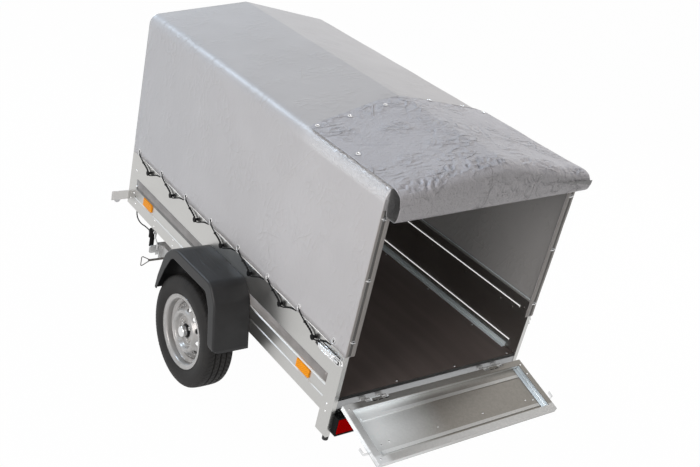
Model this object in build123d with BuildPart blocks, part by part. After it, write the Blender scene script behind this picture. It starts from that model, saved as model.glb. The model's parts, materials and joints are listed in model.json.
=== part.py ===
from build123d import *
import math
import os

# Covered utility trailer: a tipping steel load box with a high fabric cover, on a two-wheeled
# chassis with a drawbar.  Millimetres; +Z up, -Y towards the coupling, +X the trailer's left side.
# The origin lies on the ground, midway between the coupling's nose and the open tailgate's edge.

# ---- driving dimensions ----
# load box
box_width = 1107.0          # over the outer faces of the side walls
box_front = 1050.0          # wheel line to the outer face of the front wall
box_rear = 996.0            # wheel line to the rear edges of the side walls
box_bottom = 450.0          # lower edge of the walls, above the ground
box_top = 830.0             # top of the wall rims
sheet = 2.0                 # folded steel sheet
rim_width = 22.0            # wall rim, folded inward
rim_height = 38.0
return_width = 22.0         # lower flange of the walls
bead_depth = 4.0            # pressed stiffening beads
bead_width = 15.0
bead_heights = (519.0, 577.0, 767.0)
bead_end = 78.0             # plain sheet between a bead's end and the wall's rear edge
rear_flange = 22.0          # side wall's rear edge, folded inward
leg_length = 78.0           # downward leg at the wall's rear corner, along the trailer
leg_bottom = 350.0
foot_height = 22.0          # rubber foot under the leg
foot_radius = 14.0
seat_gap = 0.3              # between pieces that only rest against each other

# floor and underframe
floor_top = 533.5
floor_thickness = 12.0
sill_width = 80.0
cross_member_width = 60.0
cross_member_height = 40.0
cross_member_offsets = (-1012.0, -675.0, -60.0, 330.0, 700.0)   # from the wheel line
angle_leg = 22.0            # angle strip along the floor's edge
angle_rear_gap = 86.0       # its end, short of the wall's rear edge
rear_sill_depth = 19.0
rear_sill_bottom = 492.0

# tailgate, lying open
gate_width = 1062.0
gate_length = 300.0
gate_depth = 25.0           # depth of the pressed tray
gate_border = 30.0          # flat border round the tray
gate_drop = 15.6            # degrees below level when open
rib_offsets = (73.0, 244.0) # ribs across the tray, from its edge at the hinges
rib_length = 940.0
rib_width = 16.0
rib_rise = 4.0
gate_face = 15.0            # border's face above the hinge line
gate_start = 6.0            # hinge line to the tray's near edge
gate_gap = 9.0              # closed tailgate to the walls' rear edges
hinge_below_floor = 9.5
hinge_pin_radius = 4.0
hinge_barrel_radius = 8.0
hinge_spacing = 700.0
knuckle_length = 30.0
knuckle_gap = 3.0
gate_knuckle_length = 54.0
running_gap = 0.05          # radial clearance of turning and sliding fits
catch_length = 45.0         # catch plates on the tailgate's ends
catch_reach = 42.0
catch_start = 206.0
catch_thickness = 4.0

# lamps, reflectors and latches
lamp_width = 152.0
lamp_height = 88.0
lamp_depth = 46.0
lamp_setback = 14.0         # from the walls' rear edges to the back of the lamps
lamp_lens_depth = 12.0
lamp_frame = 7.0            # housing seen round the lens
lens_rise = 4.0             # lens face, proud of its housing
lamp_bar_bottom = 372.0
reflector_height = 42.0
reflector_length = 98.0
reflector_depth = 7.0
front_reflector_offset = -805.0
rear_reflector_offset = 756.0
reflector_center = 549.0
outrigger_reach = 98.0      # front lamp plates, beyond the side walls
outrigger_bottom = 437.0
outrigger_top = 520.0
outrigger_lap = 60.0
outrigger_sheet = 4.0
marker_radius = 30.0
marker_depth = 12.0
marker_inset = 8.0          # rim of the marker, short of the plate's end
latch_offset = 888.0
latch_drop = 40.0           # latch's middle line, below the cover's lower edge
latch_length = 150.0
latch_width = 34.0
latch_plate = 3.5
latch_rise = 14.0
latch_lever_width = 17.0
latch_lever_shift = 19.0    # lever's middle, towards the front
latch_hook_width = 11.0
latch_hook_depth = 7.0
latch_hook_shift = 30.0     # hook's middle, towards the rear

# fabric cover and its frame
cover_gap = 0.3             # between the cover and the walls
cover_sheet = 2.5
cover_bottom = 762.0
ridge_height = 1620.0
roof_slope = 0.163
eave_radius = 60.0
ridge_radius = 30.0
hem_width = 49.0            # rear hem round the opening
post_size = 20.0
frame_gap = 0.3
flap_sheet = 5.0
flap_width = 1084.0
flap_front = 345.0          # wheel line to the flap's free edge on the roof
flap_loop_depth = 74.0
flap_loop_height = 202.0    # loop's lower edge, below the ridge
flap_loop_drop = 24.0       # loop's top edge, below the roof line
flap_loop_radius = 22.0
knob_count = 7
knob_pitch = 268.8
knob_first = -826.0
knob_drop = 31.0            # knobs' middle line, below the cover's lower edge
knob_radius = 13.0
knob_neck_radius = 7.0
knob_rise = 20.0
knob_head = 5.0

# fenders
fender_width = 191.0
fender_sheet = 4.0
# corners of its upper face, front foot to rear foot: from the wheel line, above ground
fender_corners = (
    (-284.0, 372.0),
    (-270.0, 455.0),
    (-225.0, 600.0),
    (-150.0, 672.0),
    (215.0, 683.0),
    (277.0, 612.0),
    (335.0, 371.0),
)
fender_radii = (200.0, 130.0, 130.0, 70.0, 90.0)
# corners of the wheel opening in its outer lip
opening_corners = (
    (-261.5, 372.0),
    (-215.0, 500.0),
    (-150.0, 618.0),
    (190.0, 628.0),
    (235.0, 560.0),
    (285.0, 371.0),
)
opening_radii = (150.0, 50.0, 35.0, 60.0)

# wheels and axle
tyre_radius = 281.0
tyre_width = 154.0
tyre_inner = 165.0
wheel_stand = 102.0         # side wall's face to the tyre's middle plane
tread_width = 123.0
shoulder_width = 142.0
shoulder_drop = 16.0
tyre_bulge_radius = 229.0   # where the sidewall is widest
bead_rise = 4.0             # sidewall's foot, above the rim's flange
tread_round = 8.0
rim_flange_radius = 182.0
rim_width_outside = 127.0
rim_sheet = 4.0
rim_seat_drop = 6.0         # slope of the bead seats
rim_seat_inner = 35.0       # inner seat's slope starts here, inboard of the middle plane
rim_seat_outer = 28.5
rim_well_depth = 22.0
rim_well_inner = 22.0
rim_well_outer = 12.5
disc_bulge = 18.0           # disc's ring, outboard of its mounting face
disc_shoulder = 14.0
disc_ring_outer = 58.0      # its edges, in from the bead seat
disc_ring_inner = 74.0
disc_flat_margin = 22.0     # flat centre, beyond the bolt circle
disc_root = 28.0
rim_disc_offset = 30.0      # mounting face outboard of the middle plane
rim_hole_count = 10
rim_hole_radius = 13.0
rim_hole_circle = 118.0
bolt_circle = 50.0
bolt_radius = 6.0
bolt_head_radius = 10.0
bolt_head_height = 12.0
hub_radius = 64.0
hub_flange = 10.0
hub_nose_radius = 29.0
hub_nose_length = 18.0
hub_barrel_radius = 34.0
hub_cap_length = 22.0
hub_cap_step = 2.0
hub_cap_round = 6.0
spindle_radius = 15.0
swing_arm_length = 130.0
swing_arm_thickness = 32.0
swing_arm_height = 56.0
swing_arm_tip_radius = 23.5
axle_beam_size = 50.0
axle_beam_round = 6.0

# chassis and drawbar
rail_setback = 53.5         # rails' outer faces, in from the side walls
rail_width = 40.0
rail_bottom = 285.0
rail_height = 75.0
rail_sheet = 4.0
rail_rear = 44.0
crossmember_offset = -700.0
crossmember_depth = 40.0
crossmember_setback = 33.5
crossmember_tab = 40.0
tab_height = 45.0
tab_round = 12.0
pivot_rise = 40.0           # tipping axis, above the rails
pivot_radius = 10.0
pivot_ear = 6.0
pivot_ear_half = 28.0
pivot_ear_radius = 22.0
pivot_lug_radius = 20.0
pivot_lug = 12.0
buffer_offset = 200.0
buffer_width = 40.0
buffer_depth = 20.0
buffer_gap = 0.5
lock_pin_offset = -646.0
lock_pin_height = 300.0
lock_pin_radius = 6.0
lock_pin_reach = 41.5       # pin's outer end, beyond the side wall
lock_pin_tip = 6.0          # its inner end, past the rail: drawn back from the catch plate
lock_handle = 42.0
lock_handle_half = 31.5
lock_wire = 2.5
catch_clear = 14.0          # catch plate to the rail's inner face
catch_plate_sheet = 6.0
catch_hole_gap = 2.0
catch_edge = 12.0
catch_width = 40.0
drawbar_height = 62.0
drawbar_width = 60.0
drawbar_bottom = 294.0
tube_wall = 4.0
arm_root_offset = 290.0
arm_width = 45.0
nose_rear = -1400.0
coupling_reach = 2010.0
ball_radius = 25.0
ball_gap = 0.2
socket_wall = 15.0
socket_length = 22.0
socket_bottom = 338.0
coupling_length = 180.0
coupling_sheet = 6.0
coupling_crown = 8.0        # sheet left above the ball
coupling_round = 12.0
handle_width = 36.0
handle_rise = 48.0
handle_thickness = 8.0
handle_toe = 34.0           # where the handle's slope ends, from the tube's end
handle_tail = 10.0

# jockey wheel
jockey_offset = -1620.0
jockey_side = -75.0
jockey_wheel_radius = 100.0
jockey_wheel_width = 44.0
jockey_trail = 30.0
jockey_tube_radius = 21.0
jockey_tube_bottom = 232.0
jockey_tube_top = 600.0
jockey_cap_rise = 12.0
jockey_cap_lap = 3.0
jockey_leg_radius = 17.5
jockey_leg_bottom = 224.0
jockey_leg_top = 560.0
jockey_clamp_height = 50.0
jockey_clamp_wall = 7.0
fork_sheet = 5.0
fork_gap = 4.0
fork_crown_top = 219.0
stem_radius = 10.0
axle_pin_radius = 6.0
fork_eye_radius = 22.0
fork_neck = 61.6            # cheeks' width under the crown
stem_length = 42.0
crank_reach = 110.0
crank_boss = 14.0
crank_sheet = 6.0
crank_width = 22.0
crank_knob = 70.0
jockey_web_outer = 68.0
jockey_web_inner = 28.0
jockey_web_recess = 10.0
jockey_tyre_round = 8.0

# plug, its cable and the stay beside it
plug_offset = -785.0
plug_setback = 39.5         # plug and cable, in from the side wall
plug_top = 406.0
plug_radius = 21.0
plug_barrel_radius = 13.0
plug_collar_length = 46.0
plug_length = 102.0
plug_gland_drop = 27.6      # gland's axis, below the plug's top
plug_holder_width = 29.4
cable_radius = 3.5
cable_start_offset = -1000.0
gland_radius = 8.0
gland_length = 12.0
stay_radius = 4.0
stay_gap = 6.0              # below the walls

# ---- places worked out from them ----
tilt = math.radians(gate_drop)
hinge_run = box_rear + gate_gap + gate_face
gate_reach = hinge_run + (gate_start + gate_length) * math.cos(tilt) + gate_face * math.sin(tilt)
axle_y = (coupling_reach - gate_reach) / 2
front_y = axle_y - box_front
rear_y = axle_y + box_rear
half_box = box_width / 2
wheel_center = half_box + wheel_stand
rail_outer = half_box - rail_setback
crossmember_half = half_box - crossmember_setback
lock_pin_end = half_box + lock_pin_reach
plug_side = half_box - plug_setback
hinge_y = axle_y + hinge_run
hinge_z = floor_top - hinge_below_floor
floor_bottom = floor_top - floor_thickness
sill_bottom = box_bottom + sheet
sill_height = floor_bottom - sill_bottom
sill_inner = half_box - sheet - sill_width
rear_sill_y = rear_y - sheet
rail_top = rail_bottom + rail_height
pivot_height = rail_top + pivot_rise
half_cover = half_box + cover_gap + cover_sheet
cover_front_y = front_y - cover_gap - cover_sheet
cover_rear_y = rear_y + cover_gap + cover_sheet
eave_height = ridge_height - roof_slope * half_cover
flap_loop_bottom = ridge_height - flap_loop_height
latch_height = cover_bottom - latch_drop
knob_height = cover_bottom - knob_drop
gate_plane = Plane(
    origin=(0, hinge_y, hinge_z),
    x_dir=(1, 0, 0),
    z_dir=(0, math.sin(tilt), math.cos(tilt)),
)

os.makedirs("parts", exist_ok=True)


def export_piece(piece, label):
    piece.label = label
    export_step(piece, f"parts/{label}.step")


def export_pair(piece, label):
    export_piece(piece, f"left_{label}")
    export_piece(mirror(piece, about=Plane.YZ), f"right_{label}")


def both_sides(offset):
    return (-offset, offset)


# ---- side walls ----
def wall_outline():
    # the folded sheet, from the lower flange up the face with its beads to the rim's inner edge
    points = [(half_box - return_width, box_bottom), (half_box, box_bottom)]
    for height in bead_heights:
        points.append((half_box, height - bead_width / 2))
        points.append((half_box - bead_depth, height - bead_width / 4))
        points.append((half_box - bead_depth, height + bead_width / 4))
        points.append((half_box, height + bead_width / 2))
    points.append((half_box, box_top))
    points.append((half_box - rim_width, box_top))
    points.append((half_box - rim_width, box_top - rim_height))
    return points


def plain_outline():
    corner = half_box - rim_width
    return [
        (half_box - return_width, box_bottom),
        (half_box, box_bottom),
        (half_box, box_top),
        (corner, box_top),
        (corner, box_top - rim_height),
    ]


bead_rear_y = rear_y - bead_end
bead_front_y = front_y + bead_end
with BuildPart() as side_wall:
    for outline, start_y, end_y in (
        (plain_outline(), front_y, bead_front_y),
        (wall_outline(), bead_front_y, bead_rear_y),
        (plain_outline(), bead_rear_y, rear_y),
    ):
        with BuildSketch(Plane.XZ.offset(-end_y)):
            with BuildLine():
                Polyline(*outline)
                offset(amount=sheet, side=Side.LEFT, kind=Kind.INTERSECTION)
            make_face()
        extrude(amount=end_y - start_y)
    # rear leg and the flange that stiffens the rear edge
    with Locations((half_box, rear_y, leg_bottom)):
        Box(sheet, leg_length, box_bottom + sheet - leg_bottom, align=(Align.MAX, Align.MAX, Align.MIN))
        Box(rear_flange, sheet, box_top - leg_bottom, align=(Align.MAX, Align.MAX, Align.MIN))
export_pair(side_wall.part, "wall")

# ---- front wall, between the side walls ----
with BuildPart() as front_wall:
    with BuildSketch(Plane.YZ.offset(-(half_box - sheet))):
        with BuildLine():
            Polyline(*[(front_y + half_box - x, z) for x, z in wall_outline()])
            offset(amount=sheet, side=Side.RIGHT, kind=Kind.INTERSECTION)
        make_face()
    extrude(amount=box_width - 2 * sheet)
    # the side walls' rims and lower flanges fill the corners
    for side in both_sides(half_box):
        with Locations((side, front_y, box_top)):
            Box(2 * rim_width, 3 * rim_width, 2 * rim_height, mode=Mode.SUBTRACT)
        with Locations((side, front_y, box_bottom)):
            Box(2 * return_width, 3 * return_width, 2 * sheet, mode=Mode.SUBTRACT)
export_piece(front_wall.part, "front_wall")

# ---- floor and underframe ----
floor_rear_y = rear_sill_y - rear_sill_depth
floor_half = half_box - sheet - bead_depth - seat_gap
floor_front_y = front_y + sheet + bead_depth + seat_gap
with BuildPart() as floor_panel:
    with Locations((0, floor_front_y, floor_bottom)):
        Box(
            2 * floor_half,
            floor_rear_y - floor_front_y,
            floor_thickness,
            align=(Align.CENTER, Align.MIN, Align.MIN),
        )
export_piece(floor_panel.part, "floor_panel")

sill_rear_y = rear_y - leg_length
sill_outer = floor_half
sill_middle = (sill_outer + sill_inner) / 2
with BuildPart() as sills:
    for side in both_sides(sill_middle):
        with Locations((side, floor_front_y, sill_bottom)):
            Box(
                sill_outer - sill_inner,
                sill_rear_y - floor_front_y,
                sill_height,
                align=(Align.CENTER, Align.MIN, Align.MIN),
            )
        with Locations((side, floor_front_y, sill_bottom + sheet)):
            Box(
                sill_outer - sill_inner - 2 * sheet,
                sill_rear_y - floor_front_y,
                sill_height - 2 * sheet,
                align=(Align.CENTER, Align.MIN, Align.MIN),
                mode=Mode.SUBTRACT,
            )
export_piece(sills.part, "sills")

with BuildPart() as cross_members:
    for offset_y in cross_member_offsets:
        with Locations((0, axle_y + offset_y, floor_bottom)):
            Box(
                2 * sill_inner,
                cross_member_width,
                cross_member_height,
                align=(Align.CENTER, Align.CENTER, Align.MAX),
            )
            Box(
                2 * sill_inner,
                cross_member_width - 2 * rail_sheet,
                cross_member_height - rail_sheet,
                align=(Align.CENTER, Align.CENTER, Align.MAX),
                mode=Mode.SUBTRACT,
            )
export_piece(cross_members.part, "cross_members")

angle_front_y = front_y + rim_width
angle_rear_y = rear_y - angle_rear_gap
angle_back = floor_half
with BuildPart() as floor_angles:
    for side in (-1, 1):
        with BuildSketch(Plane.XZ.offset(-angle_rear_y)):
            Polygon(
                (side * angle_back, floor_top),
                (side * angle_back, floor_top + angle_leg),
                (side * (angle_back - sheet), floor_top + angle_leg),
                (side * (angle_back - sheet), floor_top + sheet),
                (side * (angle_back - angle_leg), floor_top + sheet),
                (side * (angle_back - angle_leg), floor_top),
                align=None,
            )
    extrude(amount=angle_rear_y - angle_front_y)
export_piece(floor_angles.part, "floor_angles")

with BuildPart() as rear_sill:
    with BuildSketch(Plane.YZ.offset(-(half_box - sheet))):
        Polygon(
            (rear_sill_y - rear_sill_depth, floor_top),
            (rear_sill_y, floor_top),
            (rear_sill_y, rear_sill_bottom),
            (rear_sill_y - sheet, rear_sill_bottom),
            (rear_sill_y - sheet, floor_top - sheet),
            (rear_sill_y - rear_sill_depth, floor_top - sheet),
            align=None,
        )
    extrude(amount=box_width - 2 * sheet)
export_piece(rear_sill.part, "rear_sill")

# ---- tipping pivots, catch plate and resting brackets under the box ----
pivot_middle = rail_outer - rail_width / 2
with BuildPart() as pivot_lugs:
    for side in both_sides(pivot_middle):
        with BuildSketch(Plane.YZ.offset(side - pivot_lug / 2)):
            with Locations((axle_y, pivot_height)):
                Circle(pivot_lug_radius)
            with Locations((axle_y, pivot_height)):
                Rectangle(2 * pivot_lug_radius, sill_bottom - pivot_height, align=(Align.CENTER, Align.MIN))
            with Locations((axle_y, pivot_height)):
                Circle(pivot_radius + running_gap, mode=Mode.SUBTRACT)
        extrude(amount=pivot_lug)
export_piece(pivot_lugs.part, "pivot_lugs")

catch_y = axle_y + lock_pin_offset
catch_top = floor_bottom - cross_member_height
catch_hole = lock_pin_radius + catch_hole_gap
with BuildPart() as tip_catch:
    with BuildSketch(Plane.YZ.offset(rail_outer - rail_width - catch_clear - catch_plate_sheet)):
        with Locations((catch_y, catch_top)):
            Rectangle(
                catch_width,
                catch_top - lock_pin_height + catch_hole + catch_edge,
                align=(Align.CENTER, Align.MAX),
            )
        with Locations((catch_y, lock_pin_height)):
            Circle(catch_hole, mode=Mode.SUBTRACT)
    extrude(amount=catch_plate_sheet)
export_piece(tip_catch.part, "tip_catch")

# ---- rubber feet under the rear legs ----
foot_x = half_box - foot_radius
with BuildPart() as rubber_feet:
    for side in both_sides(foot_x):
        with BuildSketch(Plane.XY.offset(leg_bottom)):
            with Locations((side, rear_y - foot_radius)):
                Circle(foot_radius)
        extrude(amount=-foot_height)
    fillet(rubber_feet.edges().group_by(Axis.Z)[0], radius=foot_radius / 4)
export_piece(rubber_feet.part, "rubber_feet")

# ---- tailgate ----
gate_bottom = gate_face - gate_depth
gate_middle = gate_start + gate_length / 2
knuckle_shift = gate_knuckle_length / 2 + knuckle_gap + knuckle_length / 2
hinge_sides = (-hinge_spacing / 2, hinge_spacing / 2)
with BuildPart() as tailgate:
    with BuildSketch(gate_plane.offset(gate_bottom)):
        with Locations((0, gate_middle)):
            Rectangle(gate_width, gate_length)
    extrude(amount=gate_depth)
    # the tray, pressed down inside its border
    with BuildSketch(gate_plane.offset(gate_face)):
        with Locations((0, gate_middle)):
            Rectangle(gate_width - 2 * gate_border, gate_length - 2 * gate_border)
    extrude(amount=sheet - gate_depth, mode=Mode.SUBTRACT)
    # the hollow under the border, between the tray's walls and the folded edge
    with BuildSketch(gate_plane.offset(gate_bottom)):
        with Locations((0, gate_middle)):
            Rectangle(gate_width - 2 * sheet, gate_length - 2 * sheet)
            Rectangle(
                gate_width - 2 * gate_border + 2 * sheet,
                gate_length - 2 * gate_border + 2 * sheet,
                mode=Mode.SUBTRACT,
            )
    extrude(amount=gate_depth - sheet, mode=Mode.SUBTRACT)
    # pressed ribs across the tray
    for offset_y in rib_offsets:
        with BuildSketch(gate_plane.offset(gate_bottom)):
            with Locations((0, gate_start + offset_y)):
                Rectangle(rib_length, rib_width)
        extrude(amount=sheet + rib_rise)
        with BuildSketch(gate_plane.offset(gate_bottom)):
            with Locations((0, gate_start + offset_y)):
                Rectangle(rib_length - 2 * sheet, rib_width - 2 * sheet)
        extrude(amount=rib_rise, mode=Mode.SUBTRACT)
    # notches round the fixed knuckles
    for middle in hinge_sides:
        for shift in both_sides(knuckle_shift):
            with BuildSketch(gate_plane.offset(gate_bottom)):
                with Locations((middle + shift, 0)):
                    Rectangle(
                        knuckle_length + 2 * knuckle_gap,
                        2 * (hinge_barrel_radius + gate_gap),
                    )
            extrude(amount=gate_depth, mode=Mode.SUBTRACT)
    # the tailgate's own knuckles
    for middle in hinge_sides:
        with BuildSketch(Plane.YZ.offset(middle - gate_knuckle_length / 2)):
            with Locations((hinge_y, hinge_z)):
                Circle(hinge_barrel_radius)
        extrude(amount=gate_knuckle_length)
    for middle in hinge_sides:
        with BuildSketch(Plane.YZ.offset(middle - gate_knuckle_length / 2)):
            with Locations((hinge_y, hinge_z)):
                Circle(hinge_pin_radius + running_gap)
        extrude(amount=gate_knuckle_length, mode=Mode.SUBTRACT)
export_piece(tailgate.part, "tailgate")

with BuildPart() as tailgate_catches:
    for side in (-1, 1):
        with BuildSketch(gate_plane):
            with Locations((side * (gate_width / 2 + catch_reach / 2), catch_start + catch_length / 2)):
                Rectangle(catch_reach, catch_length)
        extrude(amount=catch_thickness)
        with BuildSketch(gate_plane):
            with Locations(
                (side * (gate_width / 2 + catch_reach), catch_start + catch_length - catch_thickness / 2)
            ):
                Rectangle(2 * catch_thickness, catch_thickness)
        extrude(amount=3 * catch_thickness)
export_piece(tailgate_catches.part, "tailgate_catches")

# pins and fixed knuckles, each knuckle on a leaf that meets the rear sill
with BuildPart() as tailgate_hinges:
    for middle in hinge_sides:
        with BuildSketch(Plane.YZ.offset(middle - knuckle_shift - knuckle_length / 2)):
            with Locations((hinge_y, hinge_z)):
                Circle(hinge_pin_radius)
        extrude(amount=2 * knuckle_shift + knuckle_length)
        for shift in both_sides(knuckle_shift):
            with BuildSketch(Plane.YZ.offset(middle + shift - knuckle_length / 2)):
                with Locations((hinge_y, hinge_z)):
                    Circle(hinge_barrel_radius)
                with Locations((rear_sill_y, hinge_z - hinge_barrel_radius)):
                    Rectangle(hinge_y - rear_sill_y, 2 * sheet, align=(Align.MIN, Align.MIN))
                with Locations((rear_sill_y, hinge_z)):
                    Rectangle(sheet, 2 * hinge_barrel_radius, align=(Align.MIN, Align.MAX))
            extrude(amount=knuckle_length)
export_piece(tailgate_hinges.part, "tailgate_hinges")

# ---- tail lamps and the bar that carries them ----
lamp_front_y = rear_y - lamp_setback
lamp_outer = half_box - rear_flange - seat_gap
lamp_inner = lamp_outer - lamp_width
lamp_middle = (lamp_outer + lamp_inner) / 2
lamp_bottom = lamp_bar_bottom + sheet
bar_rear_y = lamp_front_y + lamp_depth
with BuildPart() as lamp_bar:
    with BuildSketch(Plane.YZ.offset(-lamp_outer)):
        Polygon(
            (lamp_front_y - sheet, rear_sill_bottom),
            (lamp_front_y, rear_sill_bottom),
            (lamp_front_y, lamp_bottom),
            (bar_rear_y, lamp_bottom),
            (bar_rear_y, lamp_bar_bottom),
            (lamp_front_y - sheet, lamp_bar_bottom),
            align=None,
        )
    extrude(amount=2 * lamp_outer)
export_piece(lamp_bar.part, "lamp_bar")

housing_depth = lamp_depth - lens_rise
lens_seat_y = lamp_front_y + housing_depth - lamp_lens_depth
lens_width = lamp_width - 2 * lamp_frame
lens_height = lamp_height - 2 * lamp_frame
lamp_center = lamp_bottom + lamp_height / 2
with BuildPart() as lamp_housings:
    for side in both_sides(lamp_middle):
        with Locations((side, lamp_front_y, lamp_bottom)):
            Box(lamp_width, housing_depth, lamp_height, align=(Align.CENTER, Align.MIN, Align.MIN))
        with Locations((side, lens_seat_y, lamp_center)):
            Box(
                lens_width,
                lamp_depth,
                lens_height,
                align=(Align.CENTER, Align.MIN, Align.CENTER),
                mode=Mode.SUBTRACT,
            )
export_piece(lamp_housings.part, "lamp_housings")

with BuildPart() as lamp_lenses:
    for side in both_sides(lamp_middle):
        with Locations((side, lens_seat_y, lamp_center)):
            Box(
                lens_width,
                lamp_lens_depth + lens_rise,
                lens_height,
                align=(Align.CENTER, Align.MIN, Align.CENTER),
            )
    fillet(lamp_lenses.edges().group_by(Axis.Y)[-1], radius=lens_rise * 0.75)
export_piece(lamp_lenses.part, "lamp_lenses")

# ---- side reflectors and front marker plates ----
with BuildPart() as side_reflectors:
    for side in (-1, 1):
        for offset_y in (front_reflector_offset, rear_reflector_offset):
            with Locations((side * (half_box + reflector_depth / 2), axle_y + offset_y, reflector_center)):
                Box(reflector_depth, reflector_length, reflector_height)
export_piece(side_reflectors.part, "side_reflectors")

with BuildPart() as outriggers:
    for side in (-1, 1):
        with Locations((side * (half_box + outrigger_reach), front_y, outrigger_bottom)):
            Box(
                outrigger_reach + outrigger_lap,
                outrigger_sheet,
                outrigger_top - outrigger_bottom,
                align=(Align.MAX if side > 0 else Align.MIN, Align.MAX, Align.MIN),
            )
export_piece(outriggers.part, "outriggers")

outrigger_middle = (outrigger_bottom + outrigger_top) / 2
marker_side = half_box + outrigger_reach - marker_radius - marker_inset
with BuildPart() as marker_lamps:
    for side in both_sides(marker_side):
        with BuildSketch(Plane.XZ.offset(-(front_y - outrigger_sheet))):
            with Locations((side, outrigger_middle)):
                Circle(marker_radius)
        extrude(amount=marker_depth)
    fillet(marker_lamps.edges().group_by(Axis.Y)[0], radius=4)
export_piece(marker_lamps.part, "marker_lamps")

# ---- over-centre latches that hold the closed tailgate ----
latch_y = axle_y + latch_offset
with BuildPart() as latches:
    for side in (-1, 1):
        face = side * half_box
        with Locations((face + side * latch_plate / 2, latch_y, latch_height)):
            Box(latch_plate, latch_length, latch_width)
        with Locations((face + side * latch_rise / 2, latch_y - latch_lever_shift, latch_height)):
            Box(latch_rise, latch_length / 2, latch_lever_width)
        with Locations((face + side * latch_rise, latch_y + latch_hook_shift, latch_height)):
            Box(latch_hook_depth, latch_length / 2, latch_hook_width)
export_piece(latches.part, "latches")

# ---- fenders ----
def beside_axle(point):
    return (axle_y + point[0], point[1])


fender_points = [beside_axle(point) for point in fender_corners]
opening_points = [beside_axle(point) for point in opening_corners]
fender_x = half_box + seat_gap
with BuildPart() as fender:
    with BuildSketch(Plane.YZ.offset(fender_x)):
        with BuildLine():
            FilletPolyline(*fender_points, radius=list(fender_radii))
            offset(amount=fender_sheet, side=Side.RIGHT)
        make_face()
    extrude(amount=fender_width)
    # outer lip round the wheel opening
    with BuildSketch(Plane.YZ.offset(fender_x + fender_width - fender_sheet)):
        with BuildLine():
            FilletPolyline(*fender_points, radius=list(fender_radii))
            FilletPolyline(*opening_points, radius=list(opening_radii))
            Line(fender_points[0], opening_points[0])
            Line(fender_points[-1], opening_points[-1])
        make_face()
    extrude(amount=fender_sheet)
export_pair(fender.part, "fender")

# ---- fabric cover ----
def cover_outline(inset):
    # half of the cover's section is a wall, a rounded eave and a roof slope up to the ridge
    half = half_cover - inset
    top = ridge_height - inset * math.hypot(1, roof_slope)
    corner = top - roof_slope * half
    return half, corner, top


def cover_wire(inset, bottom):
    half, corner, top = cover_outline(inset)
    FilletPolyline(
        (-half, bottom),
        (-half, corner),
        (0, top),
        (half, corner),
        (half, bottom),
        radius=[eave_radius - inset, ridge_radius, eave_radius - inset],
    )
    Line((half, bottom), (-half, bottom))


with BuildPart() as cover:
    with BuildSketch(Plane.XZ.offset(-cover_rear_y)):
        with BuildLine():
            cover_wire(0, cover_bottom)
        make_face()
    extrude(amount=cover_rear_y - cover_front_y)
    with BuildSketch(Plane.XZ.offset(-(cover_rear_y - cover_sheet))):
        with BuildLine():
            cover_wire(cover_sheet, cover_bottom)
        make_face()
    extrude(amount=cover_rear_y - cover_front_y - 2 * cover_sheet, mode=Mode.SUBTRACT)
    # the hem's flat face leaves the rear opening
    with BuildSketch(Plane.XZ.offset(-cover_rear_y)):
        with BuildLine():
            cover_wire(hem_width, cover_bottom)
        make_face()
    extrude(amount=2 * cover_sheet, both=True, mode=Mode.SUBTRACT)
export_piece(cover.part, "cover")

# ---- frame inside the cover: a hoop at each end, ridge and eave rails ----
frame_inset = cover_sheet + frame_gap
hoop_front_y = cover_front_y + cover_sheet + frame_gap + post_size
hoop_rear_y = cover_rear_y - cover_sheet - frame_gap
post_base = box_top + seat_gap
_, eave_z, ridge_z = cover_outline(frame_inset)
hoop_half = half_cover - frame_inset
with BuildPart() as cover_frame:
    for hoop_y in (hoop_front_y, hoop_rear_y):
        with BuildSketch(Plane.XZ.offset(-hoop_y)):
            with BuildLine():
                cover_wire(frame_inset, post_base)
            make_face()
            with BuildLine():
                cover_wire(frame_inset + post_size, post_base)
            make_face(mode=Mode.SUBTRACT)
        extrude(amount=post_size)
    rail_run = hoop_rear_y - hoop_front_y - post_size
    for side in both_sides(hoop_half - post_size / 2):
        with Locations((side, hoop_front_y, eave_z - eave_radius)):
            Box(post_size, rail_run, post_size, align=(Align.CENTER, Align.MIN, Align.MAX))
    with Locations((0, hoop_front_y, ridge_z - post_size / 2)):
        Box(post_size, rail_run, post_size, align=(Align.CENTER, Align.MIN, Align.MAX))
export_piece(cover_frame.part, "cover_frame")

# ---- rear flap, thrown forward over the roof in a loop behind the rear edge ----
flap_half = flap_width / 2
loop_front_y = cover_rear_y + seat_gap
loop_rear_y = loop_front_y + flap_loop_depth
loop_eave = eave_height - flap_loop_drop / 2
with BuildPart() as flap_loop:
    with BuildSketch(Plane.XZ.offset(-loop_rear_y)):
        with BuildLine():
            Polyline(
                (-flap_half, flap_loop_bottom),
                (-flap_half, loop_eave),
                (0, ridge_height + seat_gap + flap_sheet / 2),
                (flap_half, loop_eave),
                (flap_half, flap_loop_bottom),
                close=True,
            )
        make_face()
    extrude(amount=flap_loop_depth)
    rear_edges = flap_loop.edges().group_by(Axis.Y)[-1].filter_by(Axis.Z, reverse=True)
    fillet(rear_edges, radius=flap_loop_radius)
    loop_ends = flap_loop.faces().filter_by(Axis.X)
    offset(amount=-flap_sheet, openings=loop_ends)

with BuildPart() as rear_flap:
    with BuildSketch(Plane.XZ.offset(-loop_front_y)):
        with BuildLine():
            cover_wire(-seat_gap - flap_sheet, flap_loop_bottom)
        make_face()
        with BuildLine():
            cover_wire(-seat_gap, flap_loop_bottom)
        make_face(mode=Mode.SUBTRACT)
        with Locations((0, eave_height - eave_radius / 2)):
            Rectangle(2 * flap_half, ridge_height, align=(Align.CENTER, Align.MIN), mode=Mode.INTERSECT)
    extrude(amount=loop_front_y - axle_y - flap_front)
    add(flap_loop.part)
export_piece(rear_flap.part, "rear_flap")

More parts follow.
